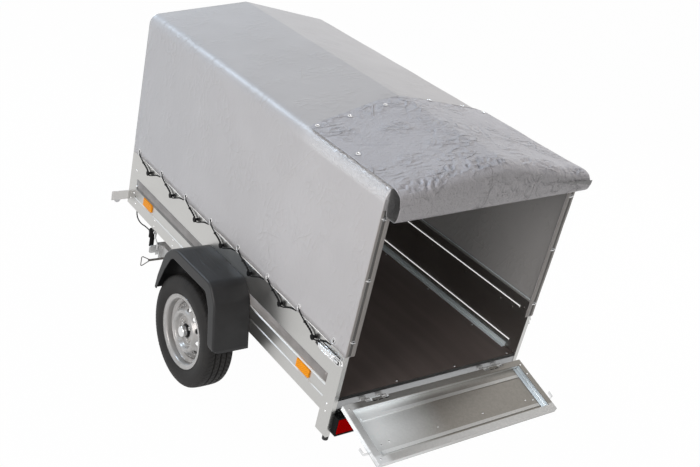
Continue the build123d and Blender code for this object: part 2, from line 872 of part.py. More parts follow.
# ---- knobs for the elastic cord ----
with BuildPart() as cord_knobs:
    for side in (-1, 1):
        for index in range(knob_count):
            knob_y = axle_y + knob_first + index * knob_pitch
            with BuildSketch(Plane.YZ.offset(side * half_box)):
                with Locations((knob_y, knob_height)):
                    Circle(knob_neck_radius)
            extrude(amount=side * (knob_rise - knob_head))
            with BuildSketch(Plane.YZ.offset(side * (half_box + knob_rise - knob_head))):
                with Locations((knob_y, knob_height)):
                    Circle(knob_radius)
            extrude(amount=side * knob_head)
export_piece(cord_knobs.part, "cord_knobs")

# ---- plug, its holder and the cable that hangs to it ----
plug_y = axle_y + plug_offset
with BuildPart() as plug_holder:
    with Locations((plug_side, plug_y, sill_bottom)):
        Box(
            2 * sheet,
            plug_holder_width,
            sill_bottom - plug_top,
            align=(Align.CENTER, Align.CENTER, Align.MAX),
        )
export_piece(plug_holder.part, "plug_holder")

with BuildPart() as plug:
    with BuildSketch(Plane.XY.offset(plug_top)):
        with Locations((plug_side, plug_y)):
            Circle(plug_radius)
    extrude(amount=-plug_collar_length)
    with BuildSketch(Plane.XY.offset(plug_top - plug_collar_length)):
        with Locations((plug_side, plug_y)):
            Circle(plug_barrel_radius)
    extrude(amount=plug_collar_length - plug_length)
    # cable gland on its front
    gland_z = plug_top - plug_gland_drop
    with BuildSketch(Plane.XZ.offset(-plug_y)):
        with Locations((plug_side, gland_z)):
            Circle(gland_radius)
    extrude(amount=plug_radius + gland_length)
export_piece(plug.part, "plug")

with BuildPart() as cable_gland:
    with BuildSketch(Plane.XY.offset(sill_bottom)):
        with Locations((plug_side, axle_y + cable_start_offset)):
            Circle(gland_radius)
    extrude(amount=-gland_length)
export_piece(cable_gland.part, "cable_gland")

plug_entry_y = plug_y - plug_radius - gland_length
cable_points = [
    (plug_side, axle_y + cable_start_offset, sill_bottom - gland_length),
    (plug_side, axle_y + cable_start_offset, 400),
    (plug_side, axle_y - 980, 373),
    (plug_side, axle_y - 930, 364),
    (plug_side, axle_y - 872, gland_z),
    (plug_side, plug_entry_y, gland_z),
]


def cord_radii(points):
    # each arc as large as its two runs allow
    radii = []
    for before, here, after in zip(points, points[1:], points[2:]):
        run_in = Vector(*here) - Vector(*before)
        run_out = Vector(*after) - Vector(*here)
        turn = math.radians(run_in.get_angle(run_out))
        radii.append(0.45 * min(run_in.length, run_out.length) / math.tan(turn / 2))
    return radii


print("cable radii", [round(radius) for radius in cord_radii(cable_points)])
with BuildPart() as plug_cable:
    with BuildLine() as cable_route:
        FilletPolyline(*cable_points, radius=cord_radii(cable_points))
    with BuildSketch(Plane(origin=cable_route.line @ 0, z_dir=cable_route.line % 0)):
        Circle(cable_radius)
    sweep()
cable_length = cable_route.wire().length
print("cable length", round(cable_length))
print("volume share", round(plug_cable.part.volume / (math.pi * cable_radius**2 * cable_length), 3))
export_piece(plug_cable.part, "plug_cable")

# ---- wheels ----
def on_wheel(points):
    return [(wheel_center + x, r) for x, r in points]


half_tyre = tyre_width / 2
half_rim = rim_width_outside / 2
bead_half = half_rim - seat_gap
tyre_profile = on_wheel(
    [
        (-bead_half, tyre_inner + seat_gap),
        (-bead_half, rim_flange_radius + bead_rise),
        (-half_tyre, tyre_bulge_radius),
        (-shoulder_width / 2, tyre_radius - shoulder_drop),
        (-tread_width / 2, tyre_radius),
        (tread_width / 2, tyre_radius),
        (shoulder_width / 2, tyre_radius - shoulder_drop),
        (half_tyre, tyre_bulge_radius),
        (bead_half, rim_flange_radius + bead_rise),
        (bead_half, tyre_inner + seat_gap),
    ]
)
wheel_plane = Plane(origin=(0, axle_y, tyre_radius), x_dir=(1, 0, 0), z_dir=(0, -1, 0))
wheel_axis = Axis((0, axle_y, tyre_radius), (1, 0, 0))
with BuildPart() as tyre:
    with BuildSketch(wheel_plane):
        with BuildLine():
            Polyline(*tyre_profile, close=True)
        make_face()
    revolve(axis=wheel_axis)
    tread_edges = tyre.edges().filter_by(GeomType.CIRCLE)
    fillet(tread_edges.group_by(SortBy.RADIUS)[-1], radius=tread_round)
export_pair(tyre.part, "tyre")

disc_face = wheel_center + rim_disc_offset
well_radius = tyre_inner - rim_well_depth
rim_profile = on_wheel(
    [
        (-half_rim, rim_flange_radius),
        (-half_rim, tyre_inner),
        (-rim_seat_inner, tyre_inner - rim_seat_drop),
        (-rim_well_inner, well_radius),
        (rim_well_outer, well_radius),
        (rim_seat_outer, tyre_inner - rim_seat_drop),
        (half_rim, tyre_inner),
        (half_rim, rim_flange_radius),
    ]
)
disc_profile = [
    (wheel_center - rim_well_inner / 4, well_radius - rim_sheet / 2),
    (wheel_center + rim_well_outer / 4, tyre_inner - disc_root),
    (disc_face + disc_shoulder, tyre_inner - disc_ring_outer),
    (disc_face + disc_bulge, tyre_inner - disc_ring_inner),
    (disc_face + rim_sheet, bolt_circle + disc_flat_margin),
    (disc_face + rim_sheet, hub_nose_radius + seat_gap),
]
with BuildPart() as rim:
    with BuildSketch(wheel_plane):
        with BuildLine():
            Polyline(*rim_profile)
            offset(amount=rim_sheet, side=Side.RIGHT, kind=Kind.INTERSECTION)
        make_face()
        with BuildLine():
            Polyline(*disc_profile)
            offset(amount=rim_sheet, side=Side.RIGHT, kind=Kind.INTERSECTION)
        make_face()
    revolve(axis=wheel_axis)
    with BuildSketch(Plane(origin=(wheel_center, axle_y, tyre_radius), x_dir=(0, 1, 0), z_dir=(1, 0, 0))):
        with PolarLocations(rim_hole_circle, rim_hole_count):
            Circle(rim_hole_radius)
        with PolarLocations(bolt_circle, 4, start_angle=45):
            Circle(bolt_radius)
    extrude(amount=2 * half_rim, mode=Mode.SUBTRACT)
export_pair(rim.part, "rim")

hub_plane = Plane(origin=(disc_face, axle_y, tyre_radius), x_dir=(0, 1, 0), z_dir=(1, 0, 0))
hub_back = -hub_flange - 2 * hub_barrel_radius
with BuildPart() as hub:
    with BuildSketch(hub_plane):
        Circle(hub_radius)
    extrude(amount=-hub_flange)
    with BuildSketch(hub_plane.offset(hub_back)):
        Circle(hub_barrel_radius)
    extrude(amount=-hub_back)
    with BuildSketch(hub_plane):
        Circle(hub_nose_radius)
    extrude(amount=hub_nose_length)
    with BuildSketch(hub_plane):
        with PolarLocations(bolt_circle, 4, start_angle=45):
            Circle(bolt_radius)
    extrude(amount=rim_sheet)
    with BuildSketch(hub_plane.offset(rim_sheet)):
        with PolarLocations(bolt_circle, 4, start_angle=45):
            RegularPolygon(bolt_head_radius, 6)
    extrude(amount=bolt_head_height)
    with BuildSketch(hub_plane.offset(hub_back)):
        Circle(spindle_radius + running_gap)
    extrude(amount=hub_nose_length - hub_back, mode=Mode.SUBTRACT)
export_pair(hub.part, "hub")

with BuildPart() as hub_cap:
    with BuildSketch(hub_plane.offset(hub_nose_length)):
        Circle(hub_nose_radius - hub_cap_step)
    extrude(amount=hub_cap_length)
    fillet(hub_cap.edges().sort_by(Axis.X)[-1], radius=hub_cap_round)
export_pair(hub_cap.part, "hub_cap")

# ---- axle beam, swing arms and rails ----
beam_y = axle_y - swing_arm_length
beam_half = rail_outer
beam_z = rail_bottom - axle_beam_size / 2
with BuildPart() as axle_beam:
    with BuildSketch(Plane.YZ.offset(-beam_half)):
        with Locations((beam_y, beam_z)):
            RectangleRounded(axle_beam_size, axle_beam_size, axle_beam_round)
    extrude(amount=2 * beam_half)
export_piece(axle_beam.part, "axle_beam")

spindle_end = disc_face + hub_nose_length - seat_gap
with BuildPart() as swing_arms:
    for side in (-1, 1):
        arm_start = side * beam_half if side > 0 else -beam_half - swing_arm_thickness
        with BuildSketch(Plane.YZ.offset(arm_start)):
            with Locations((beam_y, beam_z)):
                Circle(swing_arm_height / 2)
            with Locations((axle_y, tyre_radius)):
                Circle(swing_arm_tip_radius)
            make_hull()
        extrude(amount=swing_arm_thickness)
        spindle_start = side * beam_half if side > 0 else -spindle_end
        with BuildSketch(Plane.YZ.offset(spindle_start)):
            with Locations((axle_y, tyre_radius)):
                Circle(spindle_radius)
        extrude(amount=spindle_end - beam_half)
export_piece(swing_arms.part, "swing_arms")

rail_front_y = axle_y + crossmember_offset + crossmember_depth / 2
rail_middle = rail_outer - rail_width / 2
rail_back_y = axle_y + rail_rear
pin_y = axle_y + lock_pin_offset
with BuildPart() as chassis_rails:
    for side in both_sides(rail_middle):
        with Locations((side, rail_front_y, rail_bottom)):
            Box(
                rail_width,
                rail_back_y - rail_front_y,
                rail_height,
                align=(Align.CENTER, Align.MIN, Align.MIN),
            )
        with Locations((side, rail_front_y, rail_bottom + rail_sheet)):
            Box(
                rail_width - 2 * rail_sheet,
                rail_back_y - rail_front_y,
                rail_height - 2 * rail_sheet,
                align=(Align.CENTER, Align.MIN, Align.MIN),
                mode=Mode.SUBTRACT,
            )
        # two ears and the pivot pin
        for ear in both_sides(rail_width / 2 - pivot_ear / 2):
            with BuildSketch(Plane.YZ.offset(side + ear - pivot_ear / 2)):
                with Locations((axle_y, rail_top)):
                    Rectangle(2 * pivot_ear_half, pivot_height - rail_top, align=(Align.CENTER, Align.MIN))
                with Locations((axle_y, pivot_height)):
                    Circle(pivot_ear_radius)
            extrude(amount=pivot_ear)
        with BuildSketch(Plane.YZ.offset(side - rail_width / 2)):
            with Locations((axle_y, pivot_height)):
                Circle(pivot_radius)
        extrude(amount=rail_width)
    # bore for the lock pin, left rail
    with BuildSketch(Plane.YZ.offset(rail_outer - rail_width)):
        with Locations((pin_y, lock_pin_height)):
            Circle(lock_pin_radius + running_gap)
    extrude(amount=rail_width, mode=Mode.SUBTRACT)
export_piece(chassis_rails.part, "chassis_rails")

with BuildPart() as crossmember:
    with Locations((0, axle_y + crossmember_offset, rail_bottom)):
        Box(
            2 * crossmember_half,
            crossmember_depth,
            rail_height,
            align=(Align.CENTER, Align.CENTER, Align.MIN),
        )
        Box(
            2 * crossmember_half,
            crossmember_depth - 2 * rail_sheet,
            2 * (rail_height - rail_sheet),
            align=(Align.CENTER, Align.CENTER, Align.CENTER),
            mode=Mode.SUBTRACT,
        )
    for side in both_sides(crossmember_half):
        with BuildSketch(Plane.XZ.offset(-(rail_front_y - crossmember_depth + rail_sheet))):
            with Locations((side, rail_bottom + rail_height / 2)):
                RectangleRounded(2 * crossmember_tab, tab_height, tab_round)
        extrude(amount=rail_sheet)
export_piece(crossmember.part, "crossmember")

pin_start = rail_outer - rail_width - lock_pin_tip
with BuildPart() as lock_pin:
    with BuildSketch(Plane.YZ.offset(pin_start)):
        with Locations((pin_y, lock_pin_height)):
            Circle(lock_pin_radius)
    extrude(amount=lock_pin_end - pin_start)
    with BuildLine(Plane.XZ.offset(-pin_y)) as handle_path:
        FilletPolyline(
            (lock_pin_end - 2 * lock_pin_radius, lock_pin_height),
            (lock_pin_end + lock_handle, lock_pin_height + lock_handle_half),
            (lock_pin_end + lock_handle, lock_pin_height - lock_handle_half),
            radius=lock_pin_radius,
            close=True,
        )
    with BuildSketch(Plane(origin=handle_path.line @ 0, z_dir=handle_path.line % 0)):
        Circle(lock_wire)
    sweep(path=handle_path.line)
export_piece(lock_pin.part, "lock_pin")

catch_top_gap = catch_top - rail_top - buffer_gap
with BuildPart() as rest_brackets:
    for side in both_sides(buffer_offset):
        with Locations((side, axle_y + crossmember_offset, rail_top)):
            Box(buffer_width, buffer_depth, catch_top_gap, align=(Align.CENTER, Align.MIN, Align.MIN))
export_piece(rest_brackets.part, "rest_brackets")

# ---- drawbar: two arms that meet a square tube, and the coupling on its end ----
arm_front_y = axle_y + crossmember_offset - crossmember_depth / 2
nose_back_y = axle_y + nose_rear
coupling_y = axle_y - coupling_reach
half_bar = drawbar_width / 2
arm_run = arm_front_y - nose_back_y
arm_pull = (arm_root_offset - half_bar) / arm_run
arm_tip_y = nose_back_y - arm_width / arm_pull
def arm_polygon(side, wall):
    # plan of one arm, in by a wall on both sides
    return [
        (side * (arm_root_offset + wall), arm_front_y),
        (side * half_bar, nose_back_y - wall / arm_pull),
        (side * half_bar, arm_tip_y + wall / arm_pull),
        (side * (arm_root_offset + arm_width - wall), arm_front_y),
    ]


with BuildPart() as drawbar_arms:
    for side in (-1, 1):
        with BuildSketch(Plane.XY.offset(drawbar_bottom)):
            Polygon(*arm_polygon(side, 0), align=None)
        extrude(amount=drawbar_height)
        with BuildSketch(Plane.XY.offset(drawbar_bottom + tube_wall)):
            Polygon(*arm_polygon(side, tube_wall), align=None)
        extrude(amount=drawbar_height - 2 * tube_wall, mode=Mode.SUBTRACT)
export_piece(drawbar_arms.part, "drawbar_arms")

ball_y = coupling_y + ball_radius + ball_gap + socket_wall
nose_front_y = ball_y + ball_radius + ball_gap + socket_wall
with BuildPart() as drawbar_nose:
    with Locations((0, nose_front_y, drawbar_bottom)):
        Box(
            drawbar_width,
            nose_back_y - nose_front_y,
            drawbar_height,
            align=(Align.CENTER, Align.MIN, Align.MIN),
        )
    with Locations((0, nose_front_y, drawbar_bottom + tube_wall)):
        Box(
            drawbar_width - 2 * tube_wall,
            nose_back_y - nose_front_y,
            drawbar_height - 2 * tube_wall,
            align=(Align.CENTER, Align.MIN, Align.MIN),
            mode=Mode.SUBTRACT,
        )
export_piece(drawbar_nose.part, "drawbar_nose")

socket_radius = ball_radius + ball_gap
head_radius = socket_radius + socket_wall
with BuildPart() as coupling:
    # pressed hood over the end of the tube
    with Locations((0, ball_y, drawbar_bottom)):
        Box(
            drawbar_width + 2 * coupling_sheet,
            coupling_length,
            drawbar_height + coupling_sheet,
            align=(Align.CENTER, Align.MIN, Align.MIN),
        )
    with Locations((0, nose_front_y, drawbar_bottom)):
        Box(
            drawbar_width,
            coupling_length,
            drawbar_height,
            align=(Align.CENTER, Align.MIN, Align.MIN),
            mode=Mode.SUBTRACT,
        )
    # in front of the tube the hood's lower edge rises to the socket's mouth
    with Locations((0, nose_front_y, drawbar_bottom)):
        Box(
            drawbar_width + 2 * coupling_sheet,
            coupling_length,
            socket_bottom - drawbar_bottom,
            align=(Align.CENTER, Align.MAX, Align.MIN),
            mode=Mode.SUBTRACT,
        )
    # head with its ball socket
    with BuildSketch(Plane.XY.offset(socket_bottom)):
        with Locations((0, ball_y)):
            Circle(head_radius)
    extrude(amount=socket_length + socket_radius + coupling_crown)
    fillet(coupling.faces().sort_by(Axis.Z)[-1].edges(), radius=coupling_round)
    with BuildSketch(Plane.XY.offset(socket_bottom)):
        with Locations((0, ball_y)):
            Circle(socket_radius)
    extrude(amount=socket_length, mode=Mode.SUBTRACT)
    with Locations((0, ball_y, socket_bottom + socket_length)):
        Sphere(socket_radius, mode=Mode.SUBTRACT)
export_piece(coupling.part, "coupling")

handle_base = drawbar_bottom + drawbar_height + coupling_sheet
handle_back_y = ball_y + coupling_length - handle_tail
handle_toe_y = nose_front_y + handle_toe
with BuildPart() as coupling_handle:
    with BuildSketch(Plane.YZ.offset(-handle_width / 2)):
        with BuildLine():
            Polyline(
                (nose_front_y + handle_thickness, handle_base),
                (handle_toe_y, handle_base + handle_toe),
                (handle_back_y, handle_base + handle_rise),
                (handle_back_y, handle_base + handle_rise + handle_thickness),
                (handle_toe_y - handle_thickness, handle_base + handle_toe + handle_thickness),
                (nose_front_y, handle_base),
                close=True,
            )
        make_face()
    extrude(amount=handle_width)
export_piece(coupling_handle.part, "coupling_handle")

# ---- jockey wheel ----
jockey_y = axle_y + jockey_offset
clamp_middle = drawbar_bottom + drawbar_height / 2
clamp_radius = jockey_tube_radius + running_gap + jockey_clamp_wall
with BuildPart() as jockey_clamp:
    with BuildSketch(Plane.XY.offset(clamp_middle - jockey_clamp_height / 2)):
        with Locations((jockey_side, jockey_y)):
            Circle(clamp_radius)
        with Locations((-half_bar, jockey_y)):
            Rectangle(-jockey_side - half_bar, clamp_radius, align=(Align.MAX, Align.CENTER))
        with Locations((jockey_side, jockey_y)):
            Circle(jockey_tube_radius + running_gap, mode=Mode.SUBTRACT)
    extrude(amount=jockey_clamp_height)
export_piece(jockey_clamp.part, "jockey_clamp")

with BuildPart() as jockey_tube:
    with BuildSketch(Plane.XY.offset(jockey_tube_bottom)):
        with Locations((jockey_side, jockey_y)):
            Circle(jockey_tube_radius)
            Circle(jockey_leg_radius + running_gap, mode=Mode.SUBTRACT)
    extrude(amount=jockey_tube_top - jockey_tube_bottom)
    with BuildSketch(Plane.XY.offset(jockey_tube_top)):
        with Locations((jockey_side, jockey_y)):
            Circle(jockey_tube_radius + jockey_cap_lap)
    extrude(amount=jockey_cap_rise)
export_piece(jockey_tube.part, "jockey_tube")

crank_base = jockey_tube_top + jockey_cap_rise
with BuildPart() as jockey_crank:
    with BuildSketch(Plane.XY.offset(crank_base)):
        with Locations((jockey_side, jockey_y)):
            Circle(stem_radius)
    extrude(amount=crank_boss)
    with BuildSketch(Plane.XY.offset(crank_base + crank_boss)):
        with Locations((jockey_side, jockey_y)):
            SlotCenterPoint((0, -crank_reach / 2), (0, 0), crank_width)
    extrude(amount=crank_sheet)
    with BuildSketch(Plane.XY.offset(crank_base + crank_boss + crank_sheet)):
        with Locations((jockey_side, jockey_y - crank_reach)):
            Circle(stem_radius)
    extrude(amount=crank_knob)
    fillet(jockey_crank.edges().group_by(Axis.Z)[-1], radius=stem_radius / 2)
export_piece(jockey_crank.part, "jockey_crank")

with BuildPart() as jockey_leg:
    with BuildSketch(Plane.XY.offset(jockey_leg_bottom)):
        with Locations((jockey_side, jockey_y)):
            Circle(jockey_leg_radius)
            Circle(stem_radius + running_gap, mode=Mode.SUBTRACT)
    extrude(amount=jockey_leg_top - jockey_leg_bottom)
export_piece(jockey_leg.part, "jockey_leg")

fork_half = jockey_wheel_width / 2 + fork_gap + fork_sheet
wheel_y = jockey_y + jockey_trail
with BuildPart() as jockey_fork:
    with BuildSketch(Plane.XY.offset(fork_crown_top - fork_sheet)):
        with Locations((jockey_side, jockey_y)):
            SlotCenterPoint((0, jockey_trail / 2), (0, jockey_trail), 2 * fork_half)
    extrude(amount=fork_sheet)
    with BuildSketch(Plane.XY.offset(fork_crown_top)):
        with Locations((jockey_side, jockey_y)):
            Circle(stem_radius)
    extrude(amount=stem_length)
    for cheek in (-fork_half, fork_half - fork_sheet):
        with BuildSketch(Plane.YZ.offset(jockey_side + cheek)):
            with Locations((wheel_y, jockey_wheel_radius)):
                Circle(fork_eye_radius)
            with Locations((jockey_y + jockey_trail / 2, fork_crown_top)):
                Rectangle(fork_neck, fork_sheet, align=(Align.CENTER, Align.MAX))
            make_hull()
        extrude(amount=fork_sheet)
    with BuildSketch(Plane.YZ.offset(jockey_side - fork_half)):
        with Locations((wheel_y, jockey_wheel_radius)):
            Circle(axle_pin_radius)
    extrude(amount=2 * fork_half)
export_piece(jockey_fork.part, "jockey_fork")

with BuildPart() as jockey_wheel:
    with BuildSketch(Plane.YZ.offset(jockey_side - jockey_wheel_width / 2)):
        with Locations((wheel_y, jockey_wheel_radius)):
            Circle(jockey_wheel_radius)
    extrude(amount=jockey_wheel_width)
    rim_edges = jockey_wheel.edges().filter_by(GeomType.CIRCLE)
    fillet(rim_edges, radius=jockey_tyre_round)
    for face in (-jockey_wheel_width / 2, jockey_wheel_width / 2 - jockey_web_recess):
        with BuildSketch(Plane.YZ.offset(jockey_side + face)):
            with Locations((wheel_y, jockey_wheel_radius)):
                Circle(jockey_web_outer)
                Circle(jockey_web_inner, mode=Mode.SUBTRACT)
        extrude(amount=jockey_web_recess, mode=Mode.SUBTRACT)
    with BuildSketch(Plane.YZ.offset(jockey_side - jockey_wheel_width / 2)):
        with Locations((wheel_y, jockey_wheel_radius)):
            Circle(axle_pin_radius + running_gap)
    extrude(amount=jockey_wheel_width, mode=Mode.SUBTRACT)
export_piece(jockey_wheel.part, "jockey_wheel")

# ---- bent stay on the crossmember's left end ----
stay_x = crossmember_half + stay_radius
stay_y = axle_y + crossmember_offset
stay_top = box_bottom - stay_gap - 3.4 * stay_radius
with BuildPart() as stay_rod:
    with BuildLine(Plane.XZ.offset(-stay_y)) as stay_path:
        FilletPolyline(
            (stay_x, rail_bottom + rail_height * 0.55),
            (stay_x, rail_top),
            (stay_x + 5 * stay_radius, stay_top - 6 * stay_radius),
            (stay_x + 6 * stay_radius, stay_top),
            radius=2.5 * stay_radius,
        )
    with BuildSketch(Plane(origin=stay_path.line @ 0, z_dir=stay_path.line % 0)):
        Circle(stay_radius)
    sweep(path=stay_path.line)
    # flattened eye
    with BuildSketch(Plane.XZ.offset(-stay_y - 0.8 * stay_radius)):
        with Locations((stay_x + 6 * stay_radius, stay_top + 1.2 * stay_radius)):
            Circle(2.2 * stay_radius)
            Circle(0.9 * stay_radius, mode=Mode.SUBTRACT)
    extrude(amount=1.6 * stay_radius)
export_piece(stay_rod.part, "stay_rod")
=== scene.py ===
import json
import math

import bmesh
import bpy
import numpy as np
from mathutils import Euler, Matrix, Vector


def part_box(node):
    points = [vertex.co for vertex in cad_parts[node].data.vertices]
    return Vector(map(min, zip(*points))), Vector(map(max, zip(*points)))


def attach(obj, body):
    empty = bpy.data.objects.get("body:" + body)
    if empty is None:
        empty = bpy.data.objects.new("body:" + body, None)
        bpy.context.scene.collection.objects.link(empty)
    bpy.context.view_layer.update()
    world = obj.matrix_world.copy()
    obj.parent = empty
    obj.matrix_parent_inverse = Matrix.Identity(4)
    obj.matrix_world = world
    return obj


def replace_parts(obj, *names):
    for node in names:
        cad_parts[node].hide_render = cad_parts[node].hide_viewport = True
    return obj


with open("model.json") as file:
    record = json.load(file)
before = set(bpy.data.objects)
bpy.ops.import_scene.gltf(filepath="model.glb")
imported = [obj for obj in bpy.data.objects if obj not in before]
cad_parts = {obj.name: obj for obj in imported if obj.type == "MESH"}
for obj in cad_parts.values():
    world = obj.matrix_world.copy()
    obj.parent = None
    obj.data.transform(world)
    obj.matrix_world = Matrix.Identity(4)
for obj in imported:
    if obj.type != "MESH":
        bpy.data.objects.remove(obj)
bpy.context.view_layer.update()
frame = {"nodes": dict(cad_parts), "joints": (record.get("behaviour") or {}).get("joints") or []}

nodeOf = frame["nodes"]
for joint in frame["joints"]:
    if joint["name"] == "box_tip":
        axleY = joint["pos_m"][1]        # every length along the trailer is counted from the wheels' axle
print("trailer loaded:", len(nodeOf), "nodes, axle at", round(axleY, 4))


def boxOf(node):
    # lowest and highest corner of a node at rest
    return (np.array(corner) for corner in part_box(node))


# camera, light and floor
cameraValues = {
    "place": (2.8486, 3.7808, 2.918),
    "turn": (63.7446, -12.1367, 144.3518),   # degrees about X, Y and Z
    "lens": 50.0,
    "sensor": 36.0,
}
lightValues = {
    "worldLevel": 0.30,
    "lamps": {                                # place, aim, size, watts, colour
        "leftSoftbox": ((4.7, 2.1, 2.3), (0.3, 0.2, 0.9), 2.4, 113.0, (1.0, 0.955, 0.935)),
        "topSoftbox": ((2.0, -3.6, 4.6), (0.0, 0.2, 1.2), 1.6, 124.0, (0.66, 0.82, 1.0)),
        "rightSoftbox": ((-4.6, 0.0, 4.2), (-0.2, 0.2, 1.2), 2.4, 152.0, (1.0, 0.90, 0.83)),
        "rearFill": ((1.0, 5.2, 1.5), (0.0, 0.0, 0.6), 2.6, 12.0, (1.0, 0.90, 0.84)),
    },
    "unmirrored": ("rightSoftbox",),          # too bright a patch in the tailgate otherwise
    "floorColour": (0.86, 0.86, 0.86), "floorReach": 40.0,
    "floorShown": 0.985,                      # how far the floor is lifted to white for the camera
}

cameraData = bpy.data.cameras.new("trailerCamera")
cameraData.lens = cameraValues["lens"]
cameraData.sensor_width = cameraValues["sensor"]
trailerCamera = bpy.data.objects.new("trailerCamera", cameraData)
bpy.context.scene.collection.objects.link(trailerCamera)
trailerCamera.location = cameraValues["place"]
trailerCamera.rotation_euler = Euler([math.radians(a) for a in cameraValues["turn"]], "XYZ")
bpy.context.scene.camera = trailerCamera
bpy.context.scene.view_settings.view_transform = "Standard"


class Wire:
    # wraps the output socket of a shader node; sums, differences and products add their Math nodes
    def __init__(self, tree, socket=None):
        self.tree = tree
        self.socket = socket

    def node(self, kind, settings=None, inputs=None, out=0):
        # any other node: its settings first, then the values or wires of its sockets
        made = self.tree.nodes.new(kind)
        for name, value in (settings or {}).items():
            setattr(made, name, value)
        for name, value in (inputs or {}).items():
            if isinstance(value, Wire):
                self.tree.links.new(value.socket, made.inputs[name])
            elif made.inputs[name].type == "RGBA":
                made.inputs[name].default_value = (*value[:3], 1.0)
            else:
                made.inputs[name].default_value = value
        return Wire(self.tree, made.outputs[out]) if made.outputs else None

    def maths(self, operation, *values):
        # one Math node on these numbers or wires
        return self.node("ShaderNodeMath", {"operation": operation}, dict(enumerate(values)))

    def vectorMaths(self, operation, *values, out=0):
        # the same for vectors; out is "Value" where the answer is a number
        return self.node("ShaderNodeVectorMath", {"operation": operation}, dict(enumerate(values)), out)

    def __add__(self, other):
        return self.maths("ADD", self, other)

    __radd__ = __add__

    def __sub__(self, other):
        return self.maths("SUBTRACT", self, other)

    def __rsub__(self, other):
        return self.maths("SUBTRACT", other, self)

    def __mul__(self, other):
        return self.maths("MULTIPLY", self, other)

    __rmul__ = __mul__

    def axis(self, letter):
        # one coordinate of this place
        return self.node("ShaderNodeSeparateXYZ", None, {"Vector": self}, letter)

    def drawnOut(self, *scale):
        # this place multiplied by a number along each axis
        return self.node("ShaderNodeMapping", None, {"Vector": self, "Scale": scale})

    def band(self, low, high):
        # 0 below low, 1 above high, and a smooth rise between them
        return self.node("ShaderNodeMapRange", {"interpolation_type": "SMOOTHSTEP"},
                         {0: self, 1: low, 2: high, 3: 0.0, 4: 1.0})

    def mixed(self, first, second):
        # colour mix: this wire is the share of the second colour
        return self.node("ShaderNodeMix", {"data_type": "RGBA"}, {0: self, 6: first, 7: second}, 2)

    def spots(self, size, detail=2.0, rough=0.5):
        # cloudy noise at this place, its patches about size metres across
        return self.node("ShaderNodeTexNoise", None,
                         {"Vector": self, "Scale": 1.0 / size, "Detail": detail, "Roughness": rough})

    def ridges(self, scale, detail, rough):
        # crumpled noise at this place, with sharp ridges
        return self.node("ShaderNodeTexNoise", {"noise_type": "RIDGED_MULTIFRACTAL"}, {
            "Vector": self, "Scale": scale, "Detail": detail, "Roughness": rough,
            "Offset": 0.8, "Gain": 1.6})

    def cells(self, size, feature="F1", out="Color"):
        # cells about size metres across, each with its own colour, or the distance within it
        return self.node("ShaderNodeTexVoronoi", {"feature": feature},
                         {"Vector": self, "Scale": 1.0 / size}, out)

    def crystals(self, size):
        # one steady grey to each cell
        return self.node("ShaderNodeSeparateColor", None, {"Color": self.cells(size)}, "Red")


def newShade(name):
    # an empty material and a wire to start its nodes from
    shade = bpy.data.materials.new(name)
    shade.use_nodes = True
    shade.node_tree.nodes.clear()
    return shade, Wire(shade.node_tree)


def placedShade(name):
    # the same, with the place on the object, in metres
    shade, start = newShade(name)
    return shade, start, start.node("ShaderNodeTexCoord", None, None, "Object")


def endShade(shade, start, surface, bump=None, bumpDepth=0.001, bumpShare=1.0, **fixed):
    # the surface's shader: wires and numbers by socket, and a bump from one height wire in metres
    sockets = {name.replace("_", " "): value for name, value in {**surface, **fixed}.items()}
    if bump is not None:
        sockets["Normal"] = start.node("ShaderNodeBump", None,
                                       {"Strength": bumpShare, "Distance": bumpDepth, "Height": bump})
    lit = start.node("ShaderNodeBsdfPrincipled", None, sockets)
    start.node("ShaderNodeOutputMaterial", None, {"Surface": lit})
    return shade


def tinted(colour, share):
    # the colour times share, no channel above 1
    return tuple(min(1.0, share * channel) for channel in colour)


def whiteSeen(start, level, shown):
    # 1 where the ray comes from the camera, a mirror or clear glass, else 0; then level -> shown
    camera, mirror, glass = (start.node("ShaderNodeLightPath", None, None, "Is " + ray + " Ray")
                             for ray in ("Camera", "Glossy", "Transmission"))
    seen = start.maths("MINIMUM", camera + mirror + glass, 1.0)
    return seen * (shown - level) + level


def makeLights():
    # soft square lamps round the trailer, each turned so that its -Z looks at its aim
    for name, (place, aim, size, watts, colour) in lightValues["lamps"].items():
        lamp = bpy.data.lights.new(name, "AREA")
        lamp.energy, lamp.size, lamp.color = watts, size, colour
        lampObject = bpy.data.objects.new(name, lamp)
        lampObject.visible_glossy = name not in lightValues["unmirrored"]
        bpy.context.scene.collection.objects.link(lampObject)
        lampObject.location = place
        lampObject.rotation_euler = (Vector(aim) - Vector(place)).to_track_quat("-Z", "Y").to_euler()
    world = bpy.data.worlds.new("paleRoom")
    world.use_nodes = True
    world.node_tree.nodes.clear()
    start = Wire(world.node_tree)
    background = start.node("ShaderNodeBackground", None, {
        "Color": (1.0, 1.0, 1.0), "Strength": whiteSeen(start, lightValues["worldLevel"], 1.0)})
    start.node("ShaderNodeOutputWorld", None, {"Surface": background})
    bpy.context.scene.world = world


